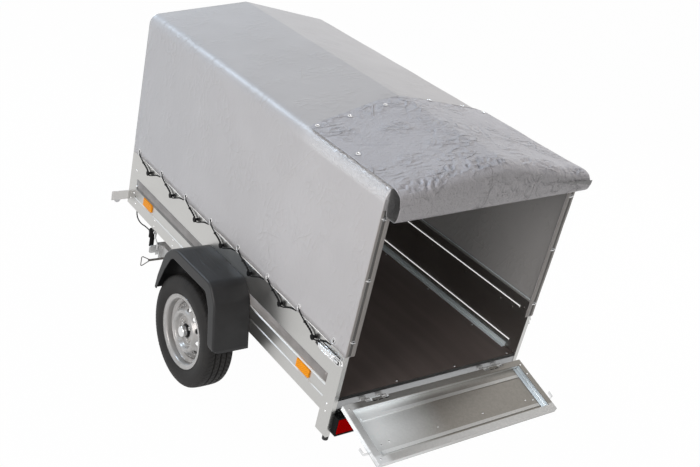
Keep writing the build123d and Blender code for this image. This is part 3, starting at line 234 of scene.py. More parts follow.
def makeFloor():
    # a pale floor that the camera sees near white, with the trailer's shadow kept on it
    reach = lightValues["floorReach"]
    corners = [(-reach, -reach, 0.0), (reach, -reach, 0.0), (reach, reach, 0.0), (-reach, reach, 0.0)]
    mesh = bpy.data.meshes.new("studioFloor")
    mesh.from_pydata(corners, [], [(0, 1, 2, 3)])
    floor = bpy.data.objects.new("studioFloor", mesh)
    bpy.context.scene.collection.objects.link(floor)
    shade, start = newShade("floorWhite")
    matt = start.node("ShaderNodeBsdfDiffuse", None, {"Color": lightValues["floorColour"]})
    glow = start.node("ShaderNodeEmission", None, {"Color": (1.0, 1.0, 1.0), "Strength": 1.0})
    mixed = start.node("ShaderNodeMixShader", None, {
        0: whiteSeen(start, 0.0, lightValues["floorShown"]), 1: matt, 2: glow})
    start.node("ShaderNodeOutputMaterial", None, {"Surface": mixed})
    mesh.materials.append(shade)


makeLights()
makeFloor()
print("camera, lamps and floor ready")


# finishes; every length in them is in metres
tarpValues = {
    "colour": (0.476, 0.468, 0.474), "inside": (0.375, 0.372, 0.368), "flapInside": (0.21, 0.21, 0.213),
    "flap": (0.474, 0.472, 0.506), "tape": (0.262, 0.248, 0.235),
    # the two colours on the next line are painted light: a shade that darkens the rolled flap's rear face,
    # and a highlight that lightens the crushed fabric at the eave
    "rearFace": (0.20, 0.185, 0.172), "crushed": (0.64, 0.64, 0.655),
    "roughness": 0.42, "weave": 0.0016, "weaveDepth": 0.0001, "grain": 0.013, "grainDepth": 0.0040,
    "foldSpacing": 0.24, "foldWidth": 0.022, "foldDepth": 0.0030, "crumpleDepth": 0.0050,
    # light is a painted glow of the cover's inner face, standing in for the daylight that comes through
    # the fabric
    "wideCrumples": 0.0010, "light": 0.014,              # light: what comes through from outside
    # where the fabric is crushed beside the rolled flap: out from the middle, height, behind the axle
    "eaveOut": (0.500, 0.530), "eaveUp": (1.462, 1.488), "eaveBack": (0.30, 0.65),
}


def tarpShade(name, rumple, colour, light=0.0, leather=0.0, eaves=0.0, dustAndRearShade=0.0):
    # coated fabric: height = weave + leathery grain + pressed fold lines + short crumples; rumple sets
    # the last two, eaves the crushed fabric's foil height, where its colour is also lightened as a painted
    # highlight; a share of painted shade darkens and warms the rolled flap's rear face, and light is a
    # glow of the surface's own, painted light for what comes through the fabric
    v = tarpValues
    shade, start, place = placedShade(name)
    base = place.spots(0.35, 3.0).band(0.35, 0.7).mixed(tinted(colour, 0.97), tinted(colour, 1.03))
    threads = place.spots(v["weave"], 1.0)
    shift = start.node("ShaderNodeTexNoise", None, {"Vector": place, "Scale": 9.0}, "Color")
    warped = start.vectorMaths("ADD", place, start.node(
        "ShaderNodeVectorMath", {"operation": "SCALE"}, {0: shift, 3: 0.05}))
    lines = 1.0 - warped.cells(v["foldSpacing"], "DISTANCE_TO_EDGE", "Distance").band(0.0, v["foldWidth"])
    where = place.spots(0.20).band(0.44, 0.60)
    turned = start.node("ShaderNodeMapping", None,
                        {"Vector": warped, "Rotation": (0.4, 0.7, 0.9), "Scale": (1.0, 1.9, 1.4)})
    crumples = turned.ridges(15.0, 3.0, 0.55)
    height = (lines * where * v["foldDepth"] * rumple + crumples * where * v["crumpleDepth"] * rumple
              + crumples * v["wideCrumples"] * rumple
              + place.spots(v["grain"], 2.0, 0.6) * v["grainDepth"] * leather + threads * v["weaveDepth"])
    rough = place.spots(0.12, 3.0) * 0.14 + (v["roughness"] - 0.07)
    # painted shade: the colour darkens and warms towards the rolled flap's rear face
    if dustAndRearShade:
        rearEnd = float(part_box("rear_flap")[1][1])
        behind = place.axis("Y").band(rearEnd - 0.026, rearEnd - 0.005)
        base = (behind * dustAndRearShade).mixed(base, v["rearFace"])
    if eaves:
        crushed = (start.maths("ABSOLUTE", place.axis("X")).band(*v["eaveOut"])
                   * place.axis("Z").band(*v["eaveUp"])
                   * place.axis("Y").band(axleY + v["eaveBack"][0], axleY + v["eaveBack"][1]))
        height = height + place.ridges(78.0, 4.0, 0.62) * crushed * eaves
        rough = rough - crushed * 0.26
        # painted highlight: the crushed fabric's colour is lightened
        base = crushed.mixed(base, v["crushed"])
    return endShade(shade, start, {"Base_Color": base, "Roughness": rough}, height,
                    1.0, 1.0, Coat_Weight=0.15, Coat_Roughness=0.3, Sheen_Weight=0.06,
                    Emission_Color=(1.0, 0.98, 0.97), Emission_Strength=light)


def sheetMetal(name, colour, roughness, metallic, spangle, contrast):
    # zinc-coated sheet: crystal patches that differ a little in tone, and cloudy gloss
    shade, start, place = placedShade(name)
    clouds = place.spots(0.18, 3.0).band(0.3, 0.7)
    smears = place.drawnOut(1.0, 0.25, 1.0).spots(0.03, 3.0)
    mask = place.crystals(spangle) * 0.65 + smears * 0.35
    gloss = smears * 0.06 + clouds * 0.05 + (roughness - 0.055)
    return endShade(shade, start, {
        "Base_Color": mask.mixed(tinted(colour, 1.0 - contrast), tinted(colour, 1.0 + contrast)),
        "Roughness": gloss}, Metallic=metallic)


gateValues = {
    # the hinge line behind the axle and its height; the gate's slope in degrees; the heights of the
    # tray and the border over the hinge's plane
    "hinge": (1.020, 0.524), "drop": 15.6, "tray": -0.008, "border": 0.015,
    # x and run from the hinge line
    "rivets": [(0.450, 0.216), (0.405, 0.209), (0.135, 0.210), (-0.137, 0.210), (-0.413, 0.210),
               (-0.457, 0.219)],
    "borderRivets": [(0.510, 0.285), (0.512, 0.030), (-0.512, 0.036), (-0.512, 0.092)],
    "slots": [(0.365, 0.020), (0.335, 0.020), (0.300, 0.020), (-0.335, 0.020), (-0.365, 0.020)],
    "slotHalf": 0.011, "slotWidth": 0.0045,
    "endHalf": 0.5008, "endRun": (0.037, 0.275), "endFoot": 0.024, "endSheet": 0.0006,
    "gapRun": 0.0105, "gapWidth": 0.0075, "gapHalf": 0.497,
    "catchEdge": 0.531, "catchRun": 0.243, "catchLow": -0.004, "catchHeight": 0.014, "catchSheet": 0.003,
    "head": [(0.0, -0.0004), (0.0042, -0.0004), (0.0042, 0.0006), (0.0034, 0.0018), (0.0018, 0.0024),
             (0.0, 0.0026)],
    # the first pair of tones is the sheet's own; the second pair and the glow are a painted reflection of
    # the pale room
    "warm": ((0.243, 0.228, 0.205), (0.270, 0.253, 0.228)),      # the sheet's two zones of tone
    "cool": ((0.84, 0.865, 0.875), (0.89, 0.915, 0.925)),
    "coolLight": (0.90, 0.97, 1.0), "lightLevel": 0.16,
}


def gateShade(name):
    # bare galvanised tray of warm rolled sheet, with a painted reflection that makes it paler, less
    # metallic and glowing towards one end and along the hinge, and painted highlights on the ribs' tops
    # and the border.
    # run and rise are lengths in the tailgate's own plane: run = (p - hinge) . out, rise = (p - hinge) .
    # up
    v = gateValues
    shade, start, place = placedShade(name)
    drop = math.radians(v["drop"])
    fromHinge = start.vectorMaths("SUBTRACT", place, (0.0, axleY + v["hinge"][0], v["hinge"][1]))
    out, up = (0.0, math.cos(drop), -math.sin(drop)), (0.0, math.sin(drop), math.cos(drop))
    run, rise = (start.vectorMaths("DOT_PRODUCT", fromHinge, way, out="Value") for way in (out, up))
    side = place.axis("X")
    cloud = place.spots(0.30) * 0.10 - 0.05
    # the masks below paint light: a reflection that pales one end and a strip along the hinge and makes
    # them less metallic, and highlights on the ribs' tops and the border's edges
    paintedReflection = (side + cloud).band(0.04, 0.44) * (1.0 - (run + cloud * 0.5).band(0.13, 0.30) * 0.6)
    hingeReflection = (1.0 - (run + cloud * 0.3).band(0.030, 0.080)) * (side.band(-0.45, 0.30) * 0.7 + 0.3)
    border = rise.band(0.009, 0.012)
    inTray = 1.0 - border
    ribHighlight = rise.band(-0.0062, -0.0050) * inTray
    edge = run.band(0.262, 0.275) * 0.52 + side.band(0.45, 0.50) * 0.80 - 0.10
    paintedSheen = start.maths("MAXIMUM", start.maths(
        "MINIMUM", paintedReflection * inTray + hingeReflection * 0.36 + ribHighlight * 0.34 + border * edge, 1.0), 0.0)
    crystals = place.crystals(0.008)
    smears = place.drawnOut(0.25, 1.0, 1.0).spots(0.03, 3.0)
    return endShade(shade, start, {
        "Base_Color": paintedSheen.mixed(crystals.mixed(*v["warm"]), crystals.mixed(*v["cool"])),
        "Metallic": 0.94 - paintedSheen * 0.72, "Roughness": smears * 0.08 + 0.28,
        # painted light: where the reflection is painted, the sheet also glows
        "Emission_Color": (paintedReflection * inTray).mixed((0.0, 0.0, 0.0), v["coolLight"])},
        place.spots(0.16, 1.0), 0.0004, 1.0, Emission_Strength=v["lightLevel"])


def plasticShade(name, colour, roughness, coat=0.0, shine=0.32):
    # moulded plastic or rubber with a fine leather-like grain and slightly uneven gloss
    shade, start, place = placedShade(name)
    pebbles = place.cells(0.0011, "SMOOTH_F1", "Distance")
    clouds = place.spots(0.07, 3.0)
    tone = clouds.band(0.3, 0.7).mixed(tinted(colour, 0.9), tinted(colour, 1.12))
    return endShade(shade, start, {"Base_Color": tone, "Roughness": clouds * 0.12 + (roughness - 0.06)},
                    pebbles, 0.00006, 0.6, Coat_Weight=coat, Coat_Roughness=0.25, Specular_IOR_Level=shine)


def lensShade(name, colour, glow=0.0, shine=0.12):
    # clear coloured lens over a pressed pattern of small prisms
    shade, start, place = placedShade(name)
    prisms = start.node("ShaderNodeTexChecker", None, {"Vector": place, "Scale": 160.0}, "Fac")
    return endShade(shade, start, {"Base_Color": prisms.mixed(tinted(colour, 0.78), colour)}, prisms,
                    0.0003, 0.3, Roughness=0.30, Specular_IOR_Level=shine, Emission_Color=colour,
                    Emission_Strength=glow)


def boardShade(name, dark, light):
    # film-faced plywood: a faint wire-mesh print = the larger of two sines 6 mm apart, and scuffs
    # along the load floor
    shade, start, place = placedShade(name)
    mesh = start.maths("MAXIMUM", *(start.maths("SINE", place.axis(letter) * (2.0 * math.pi / 0.006))
                                    for letter in "XY"))
    streaks = place.drawnOut(6.0, 0.7, 1.0).spots(0.4, 4.0)
    tone = streaks.band(0.35, 0.7).mixed(dark, light)
    return endShade(shade, start, {"Base_Color": tone, "Roughness": streaks * 0.14 + 0.40}, mesh,
                    0.00003, 0.4, Specular_IOR_Level=0.3)


def rimShade(name, clean, dustAndRearShade):
    # sprayed silver steel: metallic flakes and a little brake dust in the dish
    shade, start, place = placedShade(name)
    flakes = place.spots(0.0009, 1.0)
    tone = place.spots(0.05, 3.0).band(0.45, 0.75).mixed(clean, dustAndRearShade)
    return endShade(shade, start, {"Base_Color": tone, "Roughness": flakes * 0.10 + 0.27},
                    Metallic=0.3, Coat_Weight=0.25, Coat_Roughness=0.12)


def tyreShade(name, fresh, aged):
    # tyre rubber: dull, a touch browner where it has aged
    shade, start, place = placedShade(name)
    age = place.spots(0.06, 4.0)
    return endShade(shade, start, {"Base_Color": age.band(0.35, 0.7).mixed(fresh, aged),
                                   "Roughness": age * 0.12 + 0.62}, place.spots(0.0012), 0.0001, 0.5,
                    Specular_IOR_Level=0.3)


def hubShade(name, black, plated):
    # black hub nose; its bolt heads, farther than the nose's radius from the axle, are plated steel:
    # distance = |(0, y - axle y, z - axle z)|
    shade, start, place = placedShade(name)
    middle = sum(boxOf("left_hub")) / 2.0
    fromAxle = start.vectorMaths("MULTIPLY", start.vectorMaths("SUBTRACT", place, (0.0, *middle[1:])),
                                 (0.0, 1.0, 1.0))
    steel = start.vectorMaths("LENGTH", fromAxle, out="Value").band(0.0360, 0.0366)
    return endShade(shade, start, {"Base_Color": steel.mixed(black, plated),
                                   "Metallic": steel * 0.6, "Roughness": 0.42 - steel * 0.10})


def cordShade(name, deep, raised):
    # braided elastic cord: height = the larger of two sines that cross along the cord and round it
    shade, start = newShade(name)
    spot = start.node("ShaderNodeUVMap", {"uv_map": "UVMap"})
    along, around = (spot.axis(letter) for letter in "XY")
    braid = start.maths("SINE", along * 900.0 + around * 12.566)
    cross = start.maths("SINE", along * 900.0 - around * 12.566)
    height = start.maths("MAXIMUM", braid, cross)
    return endShade(shade, start, {"Base_Color": height.band(-0.6, 0.9).mixed(deep, raised)}, height,
                    0.0004, 0.7, Roughness=0.75, Specular_IOR_Level=0.18)


finish = {
    "tarp": tarpShade("tarpFabric", 0.34, tarpValues["colour"], leather=0.16, eaves=0.0026),
    # the cover's inner face, with a faint painted glow
    "tarpInside": tarpShade("tarpInside", 0.26, tarpValues["inside"], tarpValues["light"], 0.10),
    # the flap's inner face is coloured much darker than the cover's: painted shade inside the rolled loop
    "flapInside": tarpShade("flapInside", 0.8, tarpValues["flapInside"], leather=0.8),
    # the flap's outer fabric, with painted shade on its rear face
    "flapTarp": tarpShade("flapFabric", 1.7, tarpValues["flap"], leather=1.7, dustAndRearShade=0.40),
    "tapeFabric": tarpShade("tapeFabric", 0.2, tarpValues["tape"], leather=0.2),
    # colour, roughness, metallic, size of the crystals, contrast between them
    "wall": sheetMetal("wallSheet", (0.56, 0.555, 0.54), 0.31, 1.0, 0.004, 0.03),
    "zinc": sheetMetal("galvanisedSheet", (0.35, 0.355, 0.36), 0.34, 1.0, 0.010, 0.05),
    "frameZinc": sheetMetal("hotDipZinc", (0.58, 0.58, 0.575), 0.46, 0.6, 0.014, 0.10),
    # a much darker zinc than the bolts outside, given to the rivets inside the box
    "dullZinc": sheetMetal("dullZinc", (0.15, 0.142, 0.135), 0.45, 0.5, 0.006, 0.05),
    "paleZinc": sheetMetal("paleZinc", (0.76, 0.755, 0.74), 0.50, 0.2, 0.010, 0.03),
    # pale, bluish and barely metallic: a painted reflection of the bright room, on the floor angles and
    # the walls' folded tops
    "angleZinc": sheetMetal("angleZinc", (0.80, 0.87, 0.90), 0.42, 0.2, 0.006, 0.02),
    "brightZinc": sheetMetal("platedZinc", (0.76, 0.765, 0.77), 0.13, 1.0, 0.004, 0.04),
    # a brighter, bluish sheet: a painted reflection, given to the right end plate only
    "endZinc": sheetMetal("brightSheet", (0.74, 0.80, 0.84), 0.40, 0.85, 0.008, 0.05),
    "gateZinc": gateShade("tailgateSheet"),
    "board": boardShade("filmBoard", (0.146, 0.119, 0.110), (0.176, 0.145, 0.135)),
    "tyre": tyreShade("tyreRubber", (0.0130, 0.0124, 0.0122), (0.0200, 0.0188, 0.0178)),
    "rim": rimShade("silverPaint", (0.41, 0.402, 0.392), (0.31, 0.303, 0.292)),
    "hub": hubShade("hubPaint", (0.012, 0.012, 0.013), (0.72, 0.71, 0.69)),
    "cord": cordShade("elasticCord", (0.003, 0.003, 0.0033), (0.011, 0.011, 0.0115)),
    # colour, roughness
    "rubber": plasticShade("softRubber", (0.030, 0.030, 0.031), 0.6),
    "plastic": plasticShade("blackPlastic", (0.0055, 0.0055, 0.006), 0.45, shine=0.08),
    "fender": plasticShade("fenderPlastic", (0.021, 0.0212, 0.022), 0.42),
    "stripe": plasticShade("stripeFilm", (0.255, 0.240, 0.230), 0.34, coat=0.15),
    # a mid grey film: painted shadow of the bead under the stripe, in front of the mudguard
    "beadShade": plasticShade("beadShade", (0.20, 0.198, 0.192), 0.5),
    # a dark grey film: painted shade in the hem's groove
    "weltGroove": plasticShade("weltGroove", (0.110, 0.108, 0.104), 0.5),
    # near black: painted shade in holes, sockets, slots and gaps
    "darkGap": plasticShade("shadowGap", (0.02, 0.02, 0.02), 0.7),
    "pinSteel": plasticShade("pinSteel", (0.135, 0.124, 0.112), 0.5),
    # colour, glow; the red lamp lenses and the amber reflectors glow as painted light, though neither is
    # lit
    "red": lensShade("redLens", (0.36, 0.0005, 0.0008), 0.08, 0.0),
    "amber": lensShade("amberLens", (0.86, 0.300, 0.002), 0.16),
    "clear": lensShade("clearLens", (0.80, 0.81, 0.82)),
    # a strongly glowing white film: painted highlights on the inner beads
    "beadGlint": lensShade("brightFilm", (0.86, 0.86, 0.85), 0.85),
    # a white film with a slight glow: painted highlights along the outer walls' beads
    "whiteLine": lensShade("whiteFilm", (0.86, 0.86, 0.85), 0.18),
}
print("finishes made:", len(finish))

finishOfNode = {
    "wall": ["left_wall", "right_wall", "front_wall"],
    "gateZinc": ["tailgate"],
    "zinc": ["rear_sill", "cover_frame", "lamp_bar"],
    "angleZinc": ["floor_angles"],
    "pinSteel": ["lock_pin"],
    "frameZinc": ["sills", "cross_members", "pivot_lugs", "tip_catch", "axle_beam", "swing_arms",
                  "chassis_rails", "crossmember", "rest_brackets", "drawbar_arms", "drawbar_nose",
                  "coupling", "jockey_clamp", "jockey_tube", "jockey_fork", "plug_holder",
                  "tailgate_hinges"],
    "paleZinc": ["outriggers"],
    "brightZinc": ["tailgate_catches", "latches", "jockey_crank", "stay_rod",
                   "coupling_handle", "jockey_leg", "left_hub_cap", "right_hub_cap"],
    "board": ["floor_panel"],
    "tyre": ["left_tyre", "right_tyre", "jockey_wheel"],
    "rubber": ["rubber_feet", "cable_gland"],
    "plastic": ["lamp_housings", "cord_knobs", "plug", "plug_cable"],
    "hub": ["left_hub", "right_hub"],
    "fender": ["left_fender", "right_fender"],
    "rim": ["left_rim", "right_rim"],
    "red": ["lamp_lenses"],
    "amber": ["side_reflectors"],
    "clear": ["marker_lamps"],
    "tarp": ["cover", "rear_flap"],
}
for finishName, nodeNames in finishOfNode.items():
    for nodeName in nodeNames:
        for materialSlot in nodeOf[nodeName].material_slots:
            materialSlot.material = finish[finishName]
print("finishes given to the frame's nodes")


# shapes worked out as arrays; +1 is the left side, -1 the right
nameOfSide = {1: "left", -1: "right"}
wallFace = float(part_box("left_wall")[1][0])      # outer face of the side walls, from the middle
toRear, upright = (0.0, 1.0, 0.0), (0.0, 0.0, 1.0)


def unit(vectors):
    # each vector divided by its length
    return vectors / np.linalg.norm(vectors, axis=-1, keepdims=True)


def wholeTurn(count):
    # count angles round the circle
    return np.linspace(0.0, 2.0 * math.pi, count, endpoint=False)


def pointGrid(x, y, z):
    # coordinates stretched to one shape and joined to points
    return np.stack(np.broadcast_arrays(x, y, z), axis=-1)


def roundedPath(corners, radii, lineSteps=8, arcSteps=8):
    # straight runs with an arc at each inner corner: the arc starts radius / tan(theta / 2) from it,
    # theta being the inside angle, and turns about a centre radius / sin(theta / 2) away
    corners = np.asarray(corners, float)
    runs, last = [], corners[0]
    for index, radius in enumerate(radii, start=1):
        corner = corners[index]
        back = (corners[index - 1] - corner) / np.linalg.norm(corners[index - 1] - corner)
        ahead = (corners[index + 1] - corner) / np.linalg.norm(corners[index + 1] - corner)
        half = 0.5 * math.acos(float(np.clip(back @ ahead, -1.0, 1.0)))
        begin, end = (corner + way * radius / math.tan(half) for way in (back, ahead))
        centre = corner + (back + ahead) / np.linalg.norm(back + ahead) * radius / math.sin(half)
        turn = math.pi - 2.0 * half
        share = np.linspace(0.0, 1.0, arcSteps + 1)[:-1, None]
        runs.append(last + (begin - last) * np.linspace(0.0, 1.0, lineSteps + 1)[:-1, None])
        runs.append(centre + ((begin - centre) * np.sin((1.0 - share) * turn)
                              + (end - centre) * np.sin(share * turn)) / math.sin(turn))
        last = end
    runs.append(last + (corners[-1] - last) * np.linspace(0.0, 1.0, lineSteps + 1)[:, None])
    return np.concatenate(runs)


def lengthAlong(points):
    # distance from the first point to each, along the line
    steps = np.linalg.norm(np.diff(points, axis=0), axis=1)
    return np.concatenate(([0.0], np.cumsum(steps)))


def evenPath(points, count):
    # the same line with count points at equal distances
    along = lengthAlong(points)
    where = np.linspace(0.0, along[-1], count)
    return np.stack([np.interp(where, along, column) for column in points.T], axis=1)


def smoothRise(value, low, high):
    # 0 below low, 1 above high, 3t^2 - 2t^3 between
    t = np.clip((value - low) / (high - low), 0.0, 1.0)
    return t * t * (3.0 - 2.0 * t)


def softNoise(across, along, seed, layers=4, fade=0.55):
    # sum of noise layers between -1 and 1: each has twice the frequency and fade times the height
    table = np.random.RandomState(seed).uniform(-1.0, 1.0, (64, 64))
    total = np.zeros(np.broadcast(across, along).shape)
    for layer in range(layers):
        u, v = across * 2.0 ** layer + 7.31 * layer, along * 2.0 ** layer + 3.17 * layer
        i, j = np.floor(u).astype(int), np.floor(v).astype(int)
        a, b = smoothRise(u - i, 0.0, 1.0), smoothRise(v - j, 0.0, 1.0)
        near = table[i % 64, j % 64] * (1.0 - a) + table[(i + 1) % 64, j % 64] * a
        far = table[i % 64, (j + 1) % 64] * (1.0 - a) + table[(i + 1) % 64, (j + 1) % 64] * a
        total += fade ** layer * (near * (1.0 - b) + far * b)
    return total


def splineBasis(count, steps):
    # weights of count control points at steps places on a cubic B-spline that starts and ends on them:
    # 2/3 - d^2 + d^3 / 2 up to d = 1 from a knot, (2 - d)^3 / 6 up to 2, each row divided by its sum
    knots = np.clip(np.arange(-2, count + 2), 0, count - 1)
    where = np.linspace(0.0, count + 1.0, steps)[:, None]
    gap = np.abs(where - np.arange(len(knots))[None, :] + 1.0)
    weight = np.where(gap < 1.0, 2.0 / 3.0 - gap ** 2 + gap ** 3 / 2.0,
                      np.where(gap < 2.0, (2.0 - gap) ** 3 / 6.0, 0.0))
    basis = np.zeros((steps, count))
    for place, point in enumerate(knots):
        basis[:, point] += weight[:, place]
    return basis / basis.sum(axis=1, keepdims=True)


def splineThrough(points, steps):
    # steps points of the cubic B-spline with these control points
    return splineBasis(len(points), steps) @ np.array(points)


def makePiece(name, points, faces, shade, slot, body="load_box", spots=None, sharp=35.0, weld=False,
              turn=False):
    # a mesh object at the origin from arrays of points and faces, its UV map in metres
    mesh = bpy.data.meshes.new(name)
    mesh.from_pydata(np.asarray(points).reshape(-1, 3).tolist(), [], np.asarray(faces).tolist())
    if spots is not None:
        layer = mesh.uv_layers.new(name="UVMap")
        layer.data.foreach_set("uv", np.asarray(spots, np.float32).ravel())
    if weld or turn:
        shell = bmesh.new()
        shell.from_mesh(mesh)
        bmesh.ops.remove_doubles(shell, verts=shell.verts, dist=0.00002)
        bmesh.ops.dissolve_degenerate(shell, dist=0.000001, edges=shell.edges)
        if turn:
            bmesh.ops.recalc_face_normals(shell, faces=shell.faces)
        shell.to_mesh(mesh)
        shell.free()
    mesh.materials.append(finish[shade])
    mesh.shade_smooth()
    mesh.set_sharp_from_angle(angle=math.radians(sharp))
    piece = bpy.data.objects.new(name, mesh)
    bpy.context.scene.collection.objects.link(piece)
    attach(piece, body)
    return piece


def fourCorners(grid):
    # each face's four corners, from a grid of numbers or places
    return np.stack([grid[:-1, :-1], grid[1:, :-1], grid[1:, 1:], grid[:-1, 1:]], axis=2)


def gridFaces(rows, columns, wrapRows=False, wrapColumns=False):
    # four-cornered faces that join each point of a grid with its neighbours
    index = np.arange(rows * columns).reshape(rows, columns)
    if wrapRows:
        index = np.vstack([index, index[:1]])
    if wrapColumns:
        index = np.hstack([index, index[:, :1]])
    return fourCorners(index).reshape(-1, 4)


def gridSpots(along, around):
    # UV corners of each face, from the distances along the piece and round it
    return fourCorners(np.stack(np.meshgrid(along, around, indexing="ij"), axis=-1)).reshape(-1, 4, 2)


def gridPiece(name, grid, shade, slot, wrapRows=False, wrapColumns=False, flip=False, **more):
    # a surface from a grid of points: rows follow each other along the piece, columns go round it
    rows, columns = grid.shape[:2]
    full = np.vstack([grid, grid[:1]]) if wrapRows else grid
    full = np.hstack([full, full[:, :1]]) if wrapColumns else full
    spots = gridSpots(lengthAlong(full[:, columns // 2]), lengthAlong(full[rows // 2]))
    faces = gridFaces(rows, columns, wrapRows, wrapColumns)
    if flip:
        spots, faces = spots[:, ::-1], faces[:, ::-1]
    return makePiece(name, grid, faces, shade, slot, spots=spots, **more)


def addWall(piece, thickness, offset=-1.0):
    # gives a surface its thickness, inwards from its outer face
    wall = piece.modifiers.new("wall", "SOLIDIFY")
    wall.thickness = thickness
    wall.offset = offset
    return wall


def gridsPiece(name, grids, shade, slot, **more):
    # several equal grids, each closed round, as one piece
    grids = np.asarray(grids)
    count, rows, columns = grids.shape[:3]
    first = np.arange(count)[:, None, None] * rows * columns
    faces = gridFaces(rows, columns, wrapColumns=True) + first
    spots = gridSpots(lengthAlong(grids[0][:, 0]), np.linspace(0.0, 1.0, columns + 1))
    return makePiece(name, grids.reshape(-1, 3), faces.reshape(-1, 4), shade, slot,
                     spots=np.tile(spots, (count, 1, 1)), weld=True, turn=True, **more)


def tubeGrid(path, radius, sides=10, reference=(1.0, 0.0, 0.0), ends=True):
    # circles of radius about a path: across = reference x tangent, up = tangent x across
    path = np.asarray(path, float)
    tangent = unit(np.gradient(path, axis=0))
    across = unit(np.cross(np.broadcast_to(reference, path.shape), tangent))
    up = np.cross(tangent, across)
    angle = wholeTurn(sides)
    radius = np.asarray(radius, float)
    radius = np.broadcast_to(radius[:, None] if radius.ndim == 1 else radius, (len(path), sides))
    ring = across[:, None] * np.cos(angle)[None, :, None] + up[:, None] * np.sin(angle)[None, :, None]
    grid = path[:, None] + ring * radius[..., None]
    if ends:
        cap = np.repeat(path[[0, -1]][:, None], sides, axis=1)
        grid = np.concatenate([cap[:1], grid, cap[1:]])
    return grid


def stripGrid(path, across, up, width, height, radius=0.001):
    # a rounded rectangle of width and height carried along a path: p = path + across * a + up * b;
    # with no across given it is up x tangent
    half = width / 2.0
    corner = roundedPath([(0.0, 0.0), (half, 0.0), (half, height), (-half, height), (-half, 0.0),
                          (0.0, 0.0)], [radius] * 4, 2, 4)[:-1]
    path = np.asarray(path, float)
    if across is None:
        across = unit(np.cross(up, np.gradient(path, axis=0)))[:, None]
    grid = path[:, None] + corner[None, :, :1] * np.asarray(across) + corner[None, :, 1:] * np.asarray(up)
    ends = np.repeat((path[[0, -1]] + np.asarray(up) * height / 2.0)[:, None], len(corner), axis=1)
    return np.concatenate([ends[:1], grid, ends[1:]])


def headGrid(profile, sides=12):
    # a turned shape about +Z: (r cos a, r sin a, z) for each (radius, height) of the profile
    profile = np.asarray(profile, float)
    angle = wholeTurn(sides)
    return pointGrid(profile[:, :1] * np.cos(angle), profile[:, :1] * np.sin(angle), profile[:, 1:])


def stampGrids(grid, places, axes):
    # copies of a shape with its Z turned to each axis and its origin moved to each place
    axes = unit(np.asarray(axes, float))
    helper = np.where(np.abs(axes[:, 2:]) > 0.9, [[1.0, 0.0, 0.0]], [[0.0, 0.0, 1.0]])
    first = unit(np.cross(helper, axes))
    second = np.cross(axes, first)
    turned = (grid[None, ..., 0:1] * first[:, None, None] + grid[None, ..., 1:2] * second[:, None, None]
              + grid[None, ..., 2:3] * axes[:, None, None])
    return turned + np.asarray(places, float)[:, None, None]


def stampPiece(name, profile, sides, places, axes, shade, slot, **more):
    # one turned shape stamped at each place, as one piece; a single axis serves them all
    axes = [axes] * len(places) if isinstance(axes, tuple) else axes
    return gridsPiece(name, stampGrids(headGrid(profile, sides), places, axes), shade, slot, **more)


# the cable to the towing car: it leaves its gland, hangs in a short bow and ends in the parked plug
cableValues = {
    "side": 0.514, "exit": (-1.0, 0.440),            # distance behind the axle, height
    "bow": [(-1.0, 0.400), (-0.980, 0.373), (-0.930, 0.364), (-0.872, 0.3784), (-0.818, 0.3784)],
    "diameter": 0.007, "length": 0.235,
}


def makeCable():
    # smooth spline through the bow's control points
    v = cableValues
    points = [v["exit"]] + v["bow"]
    data = bpy.data.curves.new("towCable", "CURVE")
    data.dimensions = "3D"
    line = data.splines.new("NURBS")
    line.points.add(len(points) - 1)
    for spot, (y, z) in zip(line.points, points):
        spot.co = (v["side"], axleY + y, z, 1.0)
    line.order_u = 3
    line.use_endpoint_u = True
    line.resolution_u = 16
    data.bevel_depth = v["diameter"] / 2.0
    data.bevel_resolution = 4
    data.materials.append(finish["rubber"])
    cable = bpy.data.objects.new("towCable", data)
    bpy.context.scene.collection.objects.link(cable)
    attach(cable, "load_box")
    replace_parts(cable, "plug_cable")
    print("tow cable hung")


makeCable()

# the cover: one continuous sheet over the frame, from the rear hem over the roof and down the front
coverLow, coverHigh = boxOf("cover")
coverValues = {
    "half": float(coverHigh[0]), "bottom": float(coverLow[2]), "top": float(coverHigh[2]),
    "rear": float(coverHigh[1]), "front": float(coverLow[1]),
    "slope": 0.163, "eaveRadius": 0.060, "ridgeRadius": 0.030, "leastRadius": 0.006,
    "hem": 0.049, "rearRound": 0.006, "frontRound": 0.020, "cloth": 0.0012,
    "rows": 110, "frontRows": 34,
    "ripple": 0.0016, "sag": 0.0025, "frontRipple": 0.004,
    "firstEyelet": -0.971, "eyeletPitch": 0.2686, "scallop": 0.0075,
}


def coverProfile(inset):
    # the section of the cover, moved inwards by inset: wall, eave arc, slope, ridge arc and back
    v = coverValues
    lean = math.hypot(1.0, v["slope"])
    half = v["half"] - inset
    ridge = v["top"] + v["ridgeRadius"] * (lean - 1.0) - inset * lean
    eave = ridge - v["slope"] * half
    atEave, atRidge = (max(v[name] - inset, v["leastRadius"]) for name in ("eaveRadius", "ridgeRadius"))
    return roundedPath([(-half, v["bottom"]), (-half, eave), (0.0, ridge), (half, eave),
                        (half, v["bottom"])], [atEave, atRidge, atEave], 26, 10)


